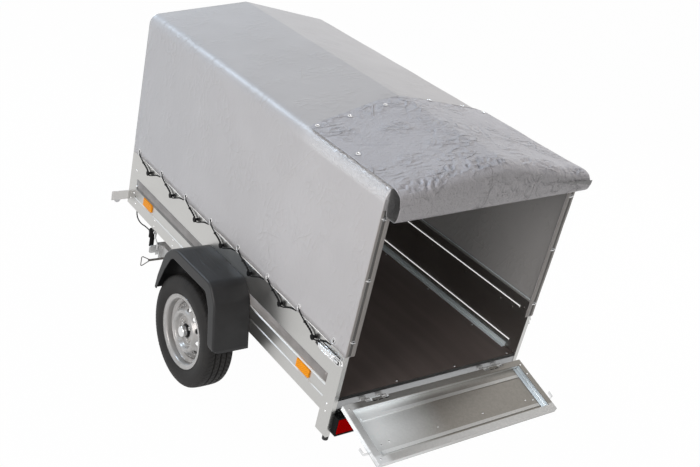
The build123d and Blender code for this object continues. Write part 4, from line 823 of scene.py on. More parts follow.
def makeCover():
    # rows: hem inset 49 mm to 0 in the rear face, a small round, the length, a front round, and the
    # front panel drawn in to the middle of its lower edge; p = section(inset) + outward * ripple
    v = coverValues
    edge = roundedPath([(v["hem"], v["rear"]), (0.0, v["rear"]), (0.0, v["front"]), (0.03, v["front"])],
                       [0.004, 0.018], 4, 6)
    begin, end = v["rear"] - v["rearRound"], v["front"] + v["frontRound"]
    length = np.stack([np.zeros(v["rows"]), np.linspace(begin, end, v["rows"])], axis=1)
    rows = np.concatenate([edge[edge[:, 1] > begin], length, edge[edge[:, 1] < end]])
    sections = np.stack([coverProfile(inset) for inset in rows[:, 0]])
    grid = pointGrid(sections[..., 0], rows[:, 1:], sections[..., 1])
    outline = coverProfile(0.0)
    around = lengthAlong(outline)
    tangent = unit(np.gradient(outline, axis=0))
    outward = np.stack([-tangent[:, 1], np.zeros(len(outline)), tangent[:, 0]], axis=-1)
    y = grid[..., 1] - axleY
    fromRear, fromFront = v["rear"] - grid[..., 1], grid[..., 1] - v["front"]
    body = smoothRise(fromRear, 0.01, 0.14) * smoothRise(fromFront, 0.02, 0.10)
    lower = smoothRise(grid[..., 2] - v["bottom"], 0.0, 0.10)
    ripple = softNoise(y * 3.1 + 20.0, np.broadcast_to(around * 2.3, y.shape), 11, 5)
    drape = softNoise(y * 1.3 + 5.0, np.broadcast_to(around * 1.1, y.shape), 12, 2)
    lift = v["ripple"] * np.abs(ripple) + v["sag"] * smoothRise(drape, -0.2, 0.9)
    covered = smoothRise(y, 0.16, 0.28) * smoothRise(grid[..., 2] - v["top"], -0.12, -0.08)
    grid += outward[None] * (lift * body * (0.35 + 0.65 * lower) * (1.0 - covered))[..., None]
    drawn = np.abs(np.sin(math.pi * (y - v["firstEyelet"]) / v["eyeletPitch"])) ** 0.7
    nearHem = smoothRise(v["bottom"] + 0.07 - grid[..., 2], 0.0, 0.07)
    grid[..., 2] += (v["scallop"] * (0.25 + 0.75 * drawn) * nearHem
                     * smoothRise(fromRear, 0.01, 0.06) * smoothRise(fromFront, 0.02, 0.08))
    shrink = np.linspace(1.0, 0.0, v["frontRows"])[1:, None, None]
    middle = np.array([0.0, v["front"], v["bottom"]])
    panel = middle + (grid[-1] - middle) * shrink
    wave = softNoise(panel[..., 0] * 3 + 9, panel[..., 2] * 3, 13, 3) ** 2
    panel[..., 1] = v["front"] - v["frontRipple"] * wave * np.sin(math.pi * shrink[..., 0]) ** 0.5
    cloth = gridPiece("coverCloth", np.concatenate([grid, panel]), "tarp", "cover_fabric", weld=True,
                      sharp=70.0)
    cloth.data.materials.append(finish["tarpInside"])
    addWall(cloth, v["cloth"]).material_offset = 1
    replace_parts(cloth, "cover")


makeCover()

# the rear flap, rolled up over the roof: it hangs down from the ridge line behind the opening, turns
# up again in a loose loop, and lies forward over the roof to its curved free edge
flapCloth = {
    "half": 0.542, "thick": 0.0012, "rollHeight": 1.432, "rollTilt": 0.0225 / 0.53,
    # columns across; rows before and after the loop's lowest line, and its share of the rows
    "columns": 204, "hidden": 32, "shown": 144, "split": 0.60, "steps": 1200,
    # free edge: x and its distance behind the axle
    "edge": [(-0.542, 0.372), (-0.53, 0.360), (-0.462, 0.291), (-0.346, 0.281), (-0.099, 0.332),
             (0.065, 0.326), (0.357, 0.391), (0.477, 0.414), (0.542, 0.434)],
    "eyelets": [(0.508, 0.443), (0.332, 0.425), (0.124, 0.393), (-0.178, 0.331), (-0.396, 0.320),
                (-0.507, 0.385)],
    "seamEyelets": [(0.505, 0.729)],
    # groups of creases: middle, spread, how many, heading in degrees and its spread, length, height,
    # width
    "creases": [((0.06, 0.66), (0.075, 0.10), 40, (25.0, 55.0), (0.03, 0.10), 0.0026, 0.0055),
                ((0.14, 1.000), (0.15, 0.028), 64, (70.0, 28.0), (0.022, 0.055), 0.0046, 0.0055),
                ((0.42, 1.035), (0.10, 0.030), 56, (65.0, 40.0), (0.02, 0.05), 0.0042, 0.0055),
                ((-0.24, 1.005), (0.10, 0.025), 20, (18.0, 20.0), (0.05, 0.12), 0.0034, 0.0065),
                ((-0.46, 1.04), (0.05, 0.03), 22, (60.0, 40.0), (0.02, 0.05), 0.0040, 0.0060),
                ((0.0, 0.70), (0.42, 0.22), 110, (80.0, 80.0), (0.04, 0.16), 0.0013, 0.0050),
                ((0.0, 1.14), (0.42, 0.030), 34, (100.0, 14.0), (0.03, 0.08), -0.0017, 0.0050)],
    # single long folds: ends (x, distance), height; then the width and bend that they share
    "folds": [((0.002, 0.363), (0.124, 0.570), 0.0030), ((0.500, 0.646), (0.313, 0.728), 0.0022),
              ((-0.260, 0.591), (-0.103, 0.900), 0.0028), ((0.279, 0.567), (0.145, 0.596), 0.0018),
              ((-0.235, 0.600), (-0.080, 0.895), -0.0020), ((0.175, 0.900), (0.235, 1.000), 0.0036),
              ((-0.200, 0.985), (-0.370, 1.060), 0.0050), ((-0.150, 0.985), (-0.330, 1.070), -0.0030),
              ((0.400, 0.480), (0.420, 0.760), 0.0014), ((0.240, 0.760), (0.040, 0.860), 0.0020)],
    "foldWidth": 0.0055, "foldBend": 0.08,
}


def roofHeight(x, fall=1.0):
    # the roof's plane under the flap: the ridge, less the slope times the distance from the middle
    return coverValues["top"] - coverValues["slope"] * np.sqrt(x * x + 0.0004) * fall


def creaseHeight(x, run, heads, tails, heights, widths, bends):
    # sum of ridges: height * taper(t) * (exp(-(d / w)^2) - 0.45 exp(-((d - 1.6 w) / w)^2)), with d the
    # distance from the bent line, w its width and t the share of its length
    total = np.zeros(x.shape)
    for head, tail, height, width, bend in zip(heads, tails, heights, widths, bends):
        length = float(np.linalg.norm(tail - head))
        way = (tail - head) / length
        along = ((x - head[0]) * way[0] + (run - head[1]) * way[1]) / length
        off = (run - head[1]) * way[0] - (x - head[0]) * way[1] + bend * length * (along - along * along)
        taper = smoothRise(along, -0.05, 0.3) * smoothRise(1.05 - along, 0.0, 0.35)
        total += height * taper * (np.exp(-(off / width) ** 2)
                                   - 0.45 * np.exp(-((off - 1.6 * width) / width) ** 2))
    return total


def flapCreases(x, run):
    # every group's creases from one seeded draw, and the long folds
    v = flapCloth
    draw = np.random.RandomState(51)
    heads, tails, heights, widths, bends = [], [], [], [], []
    for middle, spread, count, heading, lengths, height, width in v["creases"]:
        centre = np.array(middle) + draw.uniform(-1.0, 1.0, (count, 2)) * spread
        angle = np.radians(heading[0] + draw.uniform(-1.0, 1.0, count) * heading[1])
        half = draw.uniform(lengths[0], lengths[1], count)[:, None] / 2.0
        way = np.stack([np.cos(angle), np.sin(angle)], axis=1) * half
        heads.append(centre - way)
        tails.append(centre + way)
        heights.append(height * draw.uniform(0.45, 1.25, count))
        widths.append(width * draw.uniform(0.8, 1.5, count))
        bends.append(draw.uniform(-0.9, 0.9, count))
    for column, part in enumerate((heads, tails, heights)):
        part.append(np.array([fold[column] for fold in v["folds"]]))
    widths.append(np.full(len(v["folds"]), v["foldWidth"]))
    bends.append(np.full(len(v["folds"]), v["foldBend"]))
    return creaseHeight(x, run, *(np.concatenate(part) for part in (heads, tails, heights, widths, bends)))


def makeFlap():
    # each column is a cubic B-spline through control points (y, z) that shift with x; then
    # p = spline(x, t) + normal * creases(x, run), run being y on the roof and then down the rear face
    v = flapCloth
    x = np.linspace(-v["half"], v["half"], v["columns"])
    zero = np.zeros(v["columns"])
    rear, split = coverValues["rear"] - axleY, v["split"]
    roof, high = roofHeight(x), roofHeight(x, 0.86)
    low = v["rollHeight"] - v["rollTilt"] * x
    edge = np.interp(x, *np.array(v["edge"]).T)
    lump = 0.0035 * softNoise(x * 5.0 + 11.0, zero + 2.0, 28, 3)
    # down behind the opening, round the loop, up its rear face, and on to the roof
    section = [
        (0.0018, roof - 0.004), (0.0018, roof - 0.030), (0.0018, 0.55 * roof + 0.45 * low),
        (0.0018, low + 0.070), (0.0042, low + 0.020), (0.019, low - 0.004), (0.056, low - 0.004),
        (0.0750, low + 0.020), (0.0755, low + 0.060), (0.0750, 0.5 * high + 0.5 * low + 0.020),
        (0.0735, high - 0.066), (0.069, high - 0.034 + lump * 0.5),
        (0.050, 0.45 * high + 0.55 * roof - 0.004 + lump), (0.011, roof + 0.0105 + lump),
        (-0.039, roof + 0.0085 + lump * 0.4)]
    controls = [(rear + back + zero, height) for back, height in section]
    controls += [(rear - 0.039 + (edge - rear + 0.039) * share, roof + 0.0078)
                 for share in np.linspace(0.12, 1.0, 9)]
    dense = np.einsum("sk,kac->csa", splineBasis(len(controls), v["steps"]), np.array(controls))
    places = np.concatenate([np.linspace(0.0, split, v["hidden"], endpoint=False),
                             np.linspace(split, 1.0, v["shown"])])

    def spaced(one):
        # points at equal steps before and after the loop's lowest line
        along = lengthAlong(one)
        turn = along[np.argmax(one[:, 0] > rear + 0.070)]
        where = np.where(places < split, places / split * turn,
                         turn + (places - split) / (1.0 - split) * (along[-1] - turn))
        return np.stack([np.interp(where, along, column) for column in one.T], axis=1)
    paths = np.stack([spaced(one) for one in dense], axis=1)
    grid = pointGrid(x, paths[..., 0] + axleY, paths[..., 1])
    normal = unit(np.cross(np.gradient(grid, axis=1), np.gradient(grid, axis=0)))
    xs, y, z = grid[..., 0], grid[..., 1] - axleY, grid[..., 2]
    outside = (places >= split)[:, None]
    run = y + np.maximum(0.0, high - 0.004 - z)
    end = smoothRise(v["half"] - np.abs(xs), -0.004, 0.012)
    height = np.where(outside, flapCreases(xs, run), 0.0) * end * smoothRise(y - edge, 0.0, 0.02)
    hanging = (y > rear + 0.02) & (z < high - 0.02)
    height += 0.0014 * hanging * softNoise(xs * 2.6 + 3, z * 1.3 + 2, 26, 2)
    height += (outside * 0.0022 * smoothRise(softNoise(xs * 4 + 31, y * 4, 27, 3), -0.1, 0.9)
               * smoothRise(y - edge, 0.0, 0.10))
    least, most = boxOf("rear_flap")
    grid = np.clip(grid + normal * height[..., None], least - [0.004, 0.004, 0.004],
                   most + [0.004, 0.004, 0.003])
    flap = gridPiece("flapCloth", grid, "flapInside", "cover_fabric", flip=True, sharp=80.0)
    flap.data.materials.append(finish["flapTarp"])
    addWall(flap, v["thick"], 1.0).material_offset = 1
    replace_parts(flap, "rear_flap")
    return grid


flapGrid = makeFlap()

# moulded mudguards: a plate bent over the wheel, a flat outer face round the wheel's opening, and
# shallow grooves along the top
fenderValues = {
    "outer": [(-0.284, 0.372), (-0.270, 0.455), (-0.225, 0.600), (-0.150, 0.672), (0.215, 0.683),
              (0.277, 0.612), (0.335, 0.371)],
    "outerRadii": [0.200, 0.130, 0.130, 0.070, 0.090],
    "opening": [(-0.2615, 0.372), (-0.2455, 0.416), (-0.206, 0.517), (-0.150, 0.618), (0.190, 0.628),
                (0.235, 0.560), (0.285, 0.371)],
    "openingRadii": [0.200, 0.100, 0.050, 0.035, 0.060],
    "offWall": 0.0003, "sheet": 0.004, "edgeRadius": 0.010, "footRadii": (0.012, 0.026),
    # distance from the wall, half width, depth
    "grooves": [(0.126, 0.0016, 0.0010), (0.100, 0.0060, 0.0007), (0.073, 0.0022, 0.0013),
                (0.044, 0.0022, 0.0012)],
    "grooveEnds": (-0.112, 0.152), "grooveFade": 0.03,
    "plateColumns": 64, "edgeColumns": 9, "faceColumns": 11,
}


def makeFender(side):
    # three bands of columns: plate = path(s) at x from the wall to the edge; edge = arc of the edge
    # radius; face = point between that arc's end and the opening's matching point, all at the outer x
    v = fenderValues
    node = nameOfSide[side] + "_fender"
    inner, outer = sorted(abs(float(corner[0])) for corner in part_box(node))
    wall = inner + v["offWall"]
    path = roundedPath(v["outer"], v["outerRadii"], 15, 13)
    hole = roundedPath(v["opening"], v["openingRadii"], 15, 13)
    tangent = unit(np.gradient(path, axis=0))
    normal = np.stack([-tangent[:, 1], tangent[:, 0]], axis=-1)
    run = lengthAlong(path)
    foot = np.zeros(len(path))                     # how far each row is drawn in by its rounded foot
    for radius, far in zip(v["footRadii"], (run, run[-1] - run)):
        near = np.clip(radius - far, 0.0, radius)
        foot = np.maximum(foot, radius - np.sqrt(radius ** 2 - near ** 2))
    hole = path + (hole - path) * (1.0 - smoothRise(foot, 0.0, 0.009))[:, None]
    bend = v["edgeRadius"]
    reach = np.linspace(wall, outer - bend, v["plateColumns"])
    groove = sum(depth * np.exp(-((reach - wall - place) / width) ** 2)
                 for place, width, depth in v["grooves"])
    front, rear = v["grooveEnds"]
    ends = (smoothRise(path[:, 0], front, front + v["grooveFade"])
            * smoothRise(rear - path[:, 0], 0.0, v["grooveFade"]))
    turn = np.linspace(0.0, math.pi / 2.0, v["edgeColumns"] + 1)[1:]
    rise = np.hstack([-groove * ends[:, None], np.tile(-bend * (1.0 - np.cos(turn)), (len(path), 1))])
    across = np.concatenate([reach, outer - bend + bend * np.sin(turn), np.full(v["faceColumns"], outer)])
    flat = path[:, None] + normal[:, None] * rise[..., None]
    start = flat[:, -1:]
    share = np.linspace(0.0, 1.0, v["faceColumns"] + 1)[1:, None]
    flat = np.concatenate([flat, start + (hole[:, None] - start) * share], axis=1)
    across = wall + (across - wall) * (1.0 - foot[:, None] / (outer - wall))
    grid = pointGrid(side * across, axleY + flat[..., 0], flat[..., 1])
    fender = gridPiece(nameOfSide[side] + "Fender", grid, "fender", "fender_plastic", flip=side > 0,
                       sharp=50.0)
    addWall(fender, v["sheet"])
    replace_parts(fender, node)


for side in (1, -1):
    makeFender(side)
print("mudguards moulded")

# tyres: a closed ring whose section holds the bead, sidewall, shoulder and grooved tread
tyreValues = {
    # distance out from the wheel's middle plane, radius
    "profile": [(0.0625, 0.1653), (0.0640, 0.178), (0.0640, 0.184), (0.0690, 0.195), (0.0760, 0.215),
                (0.0772, 0.229), (0.0760, 0.246), (0.0725, 0.258), (0.0700, 0.2655), (0.0665, 0.2715),
                (0.0605, 0.2765), (0.0500, 0.2790), (0.0350, 0.2802), (0.0, 0.2810)],
    "treadHalf": 0.060, "treadFoot": 0.262,
    "grooves": (-0.030, 0.0, 0.030), "grooveHalf": 0.0040, "grooveDepth": 0.0072,
    "sipes": 68, "sipeDepth": 0.0034,
    "rings": (0.204, 0.239), "ringWidth": 0.0012, "ringHeight": 0.0007,
    "bars": 96, "barHeight": 0.0011,
    "around": 544, "sideRows": 24, "treadRows": 88, "seatRows": 4,
}


def aboutAxle(centre, x, radius, angle):
    # (x, r cos a, r sin a) from the wheel's centre
    return centre + pointGrid(x, radius * np.cos(angle), radius * np.sin(angle))


def makeTyre(side):
    # section radius(x) carried round the axle; tread radius loses the grooves and the slanting sipes
    v = tyreValues
    node = nameOfSide[side] + "_tyre"
    half = np.array(v["profile"])
    curve = splineThrough(np.concatenate([half, half[-2::-1] * [-1.0, 1.0]]), 600)
    tread = curve[np.abs(curve[:, 0]) < v["treadHalf"]]
    sideRun = evenPath(curve[curve[:, 0] >= v["treadHalf"]], v["sideRows"])
    treadX = np.linspace(v["treadHalf"] - 0.0002, 0.0002 - v["treadHalf"], v["treadRows"])
    treadRun = np.stack([treadX, np.interp(-treadX, -tread[:, 0], tread[:, 1])], axis=1)
    seatX = np.linspace(-v["treadHalf"], v["treadHalf"], v["seatRows"])
    seat = np.stack([seatX, np.full(v["seatRows"], half[0, 1])], axis=1)
    x, radius = np.concatenate([sideRun, treadRun, sideRun[::-1] * [-1.0, 1.0], seat]).T[:, None]
    angle = wholeTurn(v["around"])[:, None]
    groove = sum(smoothRise(v["grooveHalf"] - np.abs(x - place), 0.0, 0.0012) for place in v["grooves"])
    slant = 1.5 * np.abs(x) / 0.06 + np.where(np.abs(x) < 0.030, 0.45, 0.0) * np.sign(x + 1e-9)
    phase = (angle * v["sipes"] / (2.0 * math.pi) + slant) % 1.0
    sipe = smoothRise(0.062 - np.abs(phase - 0.5), 0.0, 0.04) * smoothRise(0.0705 - np.abs(x), 0.0, 0.004)
    depth = (radius > v["treadFoot"]) * (v["grooveDepth"] * groove
                                         + v["sipeDepth"] * sipe * (1.0 - np.clip(groove, 0.0, 1.0)))
    ring = (sum(np.exp(-((radius - place) / v["ringWidth"]) ** 2) for place in v["rings"])
            * (np.abs(x) > 0.05))
    bar = ((np.abs((angle * v["bars"] / (2.0 * math.pi)) % 1.0 - 0.5) < 0.24)
           * smoothRise(radius, 0.2555, 0.2575) * smoothRise(0.2645 - radius, 0.0, 0.002))
    out = np.sign(x) * (v["ringHeight"] * ring + v["barHeight"] * bar)
    grid = aboutAxle(sum(boxOf(node)) / 2.0, x + out, radius - depth, angle)
    tyre = gridPiece(nameOfSide[side] + "Tyre", grid, "tyre", "tyre", body=nameOfSide[side] + "_wheel",
                     wrapRows=True, wrapColumns=True, turn=True, sharp=40.0)
    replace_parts(tyre, node)


for side in (1, -1):
    makeTyre(side)
print("tyres moulded")

# rims: a turned barrel, a pressed dish with round vents, and a dark disc of painted shade in
# each of the four bolt heads' sockets
rimValues = {
    # distance out from the wheel's middle plane, radius
    "barrel": [(0.0690, 0.1850), (0.0685, 0.1872), (0.0655, 0.1872), (0.0642, 0.1840), (0.0640, 0.1760),
               (0.0632, 0.1690), (0.0590, 0.1650), (0.0480, 0.1640), (0.0390, 0.1628), (0.0350, 0.1640),
               (0.0300, 0.1625), (0.0245, 0.1560), (0.0190, 0.1470), (0.0120, 0.1440), (-0.0040, 0.1440),
               (-0.0200, 0.1440), (-0.0290, 0.1500), (-0.0360, 0.1600), (-0.0400, 0.1632),
               (-0.0590, 0.1650), (-0.0632, 0.1690), (-0.0640, 0.1760), (-0.0642, 0.1840),
               (-0.0655, 0.1872), (-0.0680, 0.1872)],
    "dish": [(-0.0020, 0.1412), (0.0120, 0.1388), (0.0220, 0.1320), (0.0320, 0.1215), (0.0430, 0.1110),
             (0.0520, 0.1045), (0.0555, 0.1015), (0.0562, 0.0960), (0.0555, 0.0905), (0.0510, 0.0875),
             (0.0400, 0.0835), (0.0325, 0.0800), (0.0305, 0.0740), (0.0320, 0.0680), (0.0345, 0.0640),
             (0.0345, 0.0360)],
    "sheet": 0.0028, "vents": 12, "ventCircle": 0.1190, "ventRadius": 0.0136,
    "bolts": 4, "boltCircle": 0.050, "boltSeat": 0.002,
    "socket": [(0.0, -0.0008), (0.0046, -0.0008), (0.0046, 0.0003), (0.0, 0.0004)],
    "barrelAround": 160, "barrelRows": 72, "dishAround": 240, "dishRows": 64,
}


def makeRim(side):
    # profile (x, r) turned about the axle; a vent is cut where a mesh point lies within its circle, and
    # the points next to the cut move out to the circle
    v = rimValues
    name = nameOfSide[side]
    centre = sum(boxOf(name + "_rim")) / 2.0
    steel = {"shade": "rim", "slot": "rim_silver", "body": name + "_wheel", "sharp": 50.0}
    outer = splineThrough(v["barrel"], v["barrelRows"])
    slope = unit(np.gradient(outer, axis=0))
    inner = outer + np.stack([-slope[:, 1], slope[:, 0]], axis=-1) * v["sheet"]
    x, radius = np.concatenate([outer, inner[::-1]]).T[..., None]
    grid = aboutAxle(centre, side * x, radius, wholeTurn(v["barrelAround"]))
    barrel = gridPiece(name + "RimBarrel", grid, wrapRows=True, wrapColumns=True, turn=True, **steel)
    dish = evenPath(splineThrough(v["dish"], 400), v["dishRows"])
    angle, pitch = wholeTurn(v["dishAround"]), 2.0 * math.pi / v["vents"]
    up = lengthAlong(dish)
    level = np.interp(-v["ventCircle"], -dish[:, 1], up)
    away, rise = np.broadcast_arrays((angle - np.round(angle / pitch) * pitch) * v["ventCircle"],
                                     (up - level)[:, None])
    distance = np.hypot(away, rise)
    faces = gridFaces(*distance.shape, wrapColumns=True)
    touched = (distance < v["ventRadius"]).ravel()[faces]
    cut = touched.any(axis=1)
    beside = np.isin(np.arange(distance.size), faces[cut][~touched[cut]]).reshape(distance.shape)
    pull = np.where(beside, v["ventRadius"] / np.maximum(distance, 1e-6), 1.0)
    turned = angle + (away * pull - away) / np.maximum(dish[:, 1:], 0.05)
    x, radius = (np.interp(rise * pull + level, up, column) for column in dish.T)
    kept = faces[~cut] if side > 0 else faces[~cut][:, ::-1]
    plate = makePiece(name + "RimDish", aboutAxle(centre, side * x, radius, turned), kept, **steel)
    addWall(plate, v["sheet"])
    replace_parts(barrel, name + "_rim")
    seat = side * (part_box("left_hub")[1][0] - v["boltSeat"])
    turns = (np.arange(v["bolts"]) + 0.5) * 2.0 * math.pi / v["bolts"]
    # dark discs in the bolt heads' sockets: painted shade
    stampPiece(name + "WheelBolts", v["socket"], 18,
               aboutAxle(centre * [0.0, 1.0, 1.0], seat, v["boltCircle"], turns), (side, 0.0, 0.0),
               "darkGap", "bright_zinc", body=name + "_wheel", sharp=30.0)


for side in (1, -1):
    makeRim(side)
print("rims pressed")

# the rear hem: an outer tape, a dark strip of painted shade for the welt's groove and an inner tape
# on each post of the opening, with wire rings across the groove
hemValues = {
    "bottom": 0.766, "top": 1.436, "steps": 90, "waver": 0.0007,
    # name, distances from the cover's side, height, finish
    "strips": [("outerTape", 0.001, 0.013, 0.0022, "tapeFabric"),
               ("welt", 0.0135, 0.0265, 0.0006, "weltGroove"),
               ("innerTape", 0.027, 0.047, 0.0030, "tapeFabric")],
    "rings": (0.836, 1.127, 1.400), "ringIn": 0.020, "ringBow": (0.014, 0.0065, 0.0025),
    "ringWire": 0.0016, "ringHole": 0.0052, "ringOuter": 0.0090,
}


def ringProfile(hole, outer, foot, crown, shoulder):
    # (radius, height) of a pressed eyelet: up from the hole, over the crown and down to its edge
    return [(hole, foot), (hole, 0.0014), (hole + 0.0012, crown), (outer - 0.0016, shoulder),
            (outer, 0.0008), (outer, foot), (hole, foot)]


def discProfile(radius, low, high):
    # (radius, height) of a flat disc
    return [(0.0, low), (radius, low), (radius, high), (0.0, high)]


def makeHem():
    # strips run up each post; their faces waver a little: y = rear + ripple(z). A wire ring is half an
    # oval: (a cos t, b sin t, c cos t)
    v = hemValues
    rear, half = coverValues["rear"], coverValues["half"]
    z = np.linspace(v["bottom"], v["top"], v["steps"])
    for name, near, far, rise, shade in v["strips"]:
        grids = []
        for side in (1, -1):
            wave = softNoise(z * 9.0 + 5.0 * side + near * 50, z * 0.0, 31, 3)
            path = pointGrid(side * (half - (near + far) / 2.0 + v["waver"] * wave),
                             rear + 0.0004 * (wave - 1.0), z)
            grids.append(stripGrid(path, (side, 0.0, 0.0), toRear, far - near, rise + 0.0008,
                                   min(0.0010, rise * 0.45)))
        gridsPiece(name, grids, shade, "cover_fabric", sharp=50.0)
    share = np.linspace(0.0, math.pi, 16)
    out, back, up = v["ringBow"]
    spots = [(side, half - v["ringIn"], height) for side in (1, -1) for height in v["rings"]]
    gridsPiece("hemRings", [
        tubeGrid(pointGrid(side * (x + out * np.cos(share)), rear + 0.0005 + back * np.sin(share),
                           height + up * np.cos(share)), v["ringWire"], 8, upright)
        for side, x, height in spots], "brightZinc", "bright_zinc")
    places = [(side * x, rear + 0.0022, height) for side, x, height in spots]
    stampPiece("hemEyelets", ringProfile(v["ringHole"], v["ringOuter"], 0.0, 0.0022, 0.0020), 22,
               places, toRear, "zinc", "zinc")
    # dark discs in the rings' holes: painted shade
    stampPiece("hemHoles", discProfile(v["ringHole"], -0.0010, 0.0012), 18, places, toRear, "darkGap",
               "cover_fabric")


makeHem()

# eyelets along the flap's free edge and side seam
eyeletValues = {"radius": 0.0108, "hole": 0.0050, "foot": 0.0003, "rise": 0.0034, "lift": 0.0012}


def onFlap(spots):
    # the flap's surface above each (x, distance behind the axle), and the roof's outward direction
    spots = np.asarray(spots, float)[:, :, None, None]
    y = flapGrid[..., 1] - axleY
    top = flapGrid[..., 2] > roofHeight(flapGrid[..., 0]) - 0.012
    far = (flapGrid[..., 0] - spots[:, 0]) ** 2 + (y - spots[:, 1]) ** 2
    far = np.where(top, far, 9.0).reshape(len(spots), -1)
    places = flapGrid.reshape(-1, 3)[np.argmin(far, axis=1)]
    return places, pointGrid(coverValues["slope"] * np.sign(places[:, 0]), 0.0, 1.0)


def makeEyelets():
    # pressed rings stood on the flap's surface: p = place + axis * lift
    v = eyeletValues
    places, axes = onFlap(flapCloth["eyelets"] + flapCloth["seamEyelets"])
    places = places + axes * v["lift"]
    ring = ringProfile(v["hole"], v["radius"], v["foot"], v["rise"], v["rise"] * 0.9)
    stampPiece("eyeletRings", ring, 24, places, axes, "brightZinc", "bright_zinc")
    # dark discs in the eyelets' holes: painted shade
    stampPiece("eyeletHoles", discProfile(v["hole"], 0.0, 0.0009), 20, places, axes, "darkGap",
               "cover_fabric")


makeEyelets()
print("hem and eyelets sewn in")

# elastic lacing: out of each eyelet, down round the knob, and back under the cover's lower edge
lacingValues = {
    "eyelets": (-0.971, -0.697, -0.424, -0.159, 0.112, 0.379, 0.642, 0.909), "eyeletHeight": 0.790,
    "knobs": 7, "knobFirst": -0.826, "knobPitch": 0.2688, "knobHeight": 0.731,
    "cord": 0.0030, "sleeve": 0.0043, "bite": 0.0006, "twist": 420.0, "knot": 0.0026,
    # the cord's line: out, back and up from the eyelet in the cover, then from the knob on the wall
    "fromEyelet": [(-0.001, 0.001, -0.006), (0.007, 0.006, -0.009), (0.0055, 0.050, -0.031)],
    "fromKnob": [(0.0085, -0.030, 0.014), (0.0085, -0.0125, 0.001), (0.0085, -0.0085, -0.0095),
                 (0.0085, 0.003, -0.0125), (0.0075, 0.030, -0.001), (0.0055, 0.066, 0.0200),
                 (0.0040, 0.088, 0.0262), (0.0008, 0.108, 0.0290)],
    "sides": 14, "steps": 110,
    "oval": (0.0025, 0.0088, 0.0135), "ovalWire": 0.0023, "ovalSteps": 28,
    "slot": (0.0115, 0.0072, 0.0010),
}


def lacingCord(side, eyelet, knob):
    # radius: round for its free half, then two strands twisted: r = sleeve + bite * cos(2a - twist * s)
    v = lacingValues
    line = splineThrough(np.concatenate([
        np.array(v["fromEyelet"]) + [coverValues["half"], eyelet, v["eyeletHeight"]],
        np.array(v["fromKnob"]) + [wallFace, knob, v["knobHeight"]]]), 500)
    line = evenPath(line, v["steps"]) * [side, 1.0, 1.0] + [0.0, axleY, 0.0]
    run = lengthAlong(line)[:, None]
    knobRun = run[np.argmin(np.abs(line[:, 1] - axleY - knob + 0.012))]
    sleeved = (smoothRise(run, 0.46 * knobRun, 0.50 * knobRun)
               * smoothRise(knobRun + 0.004 - run, 0.0, 0.006))
    knot = np.exp(-((run - 0.49 * knobRun) / 0.0055) ** 2)
    angle = wholeTurn(v["sides"])
    strands = v["bite"] * np.cos(2.0 * angle - run * v["twist"])
    radius = (v["cord"] + sleeved * (v["sleeve"] - v["cord"] + strands)
              + v["knot"] * knot * (1.0 + 0.2 * np.cos(angle * 3.0)))
    return tubeGrid(line, radius, v["sides"])


def makeLacing():
    # a cord from every eyelet but the last round the knob after it; each eyelet is an oval wire ring:
    # (a (1 - cos t) / 2, b sin t, c cos t)
    v = lacingValues
    knobs = v["knobFirst"] + v["knobPitch"] * np.arange(v["knobs"])
    cords = [lacingCord(side, *pair) for side in (1, -1) for pair in zip(v["eyelets"], knobs)]
    gridsPiece("lacingCords", cords, "cord", "black_plastic", sharp=80.0)
    axes = np.array([(side, 0.0, 0.0) for side in (1, -1) for _ in v["eyelets"]])
    places = axes * (coverValues["half"] + 0.0014) + [
        (0.0, axleY + eyelet, v["eyeletHeight"]) for _ in (1, -1) for eyelet in v["eyelets"]]
    turn = np.linspace(0.0, 2.0 * math.pi, v["ovalSteps"])
    out, back, up = v["oval"]
    oval = pointGrid(out * (1.0 - np.cos(turn)) / 2.0, back * np.sin(turn), up * np.cos(turn))
    gridsPiece("lacingEyelets", [tubeGrid(oval * [axis[0], 1.0, 1.0] + place, v["ovalWire"], 8, ends=False)
                                 for axis, place in zip(axes, places)], "brightZinc", "bright_zinc")
    # dark discs in the lacing eyelets: painted shade
    slot = headGrid(discProfile(1.0, 0.0, 1.0), 20) * v["slot"]
    gridsPiece("eyeletSlots", stampGrids(slot, places - axes * 0.0012, axes), "darkGap", "cover_fabric")


makeLacing()
print("lacing tied")

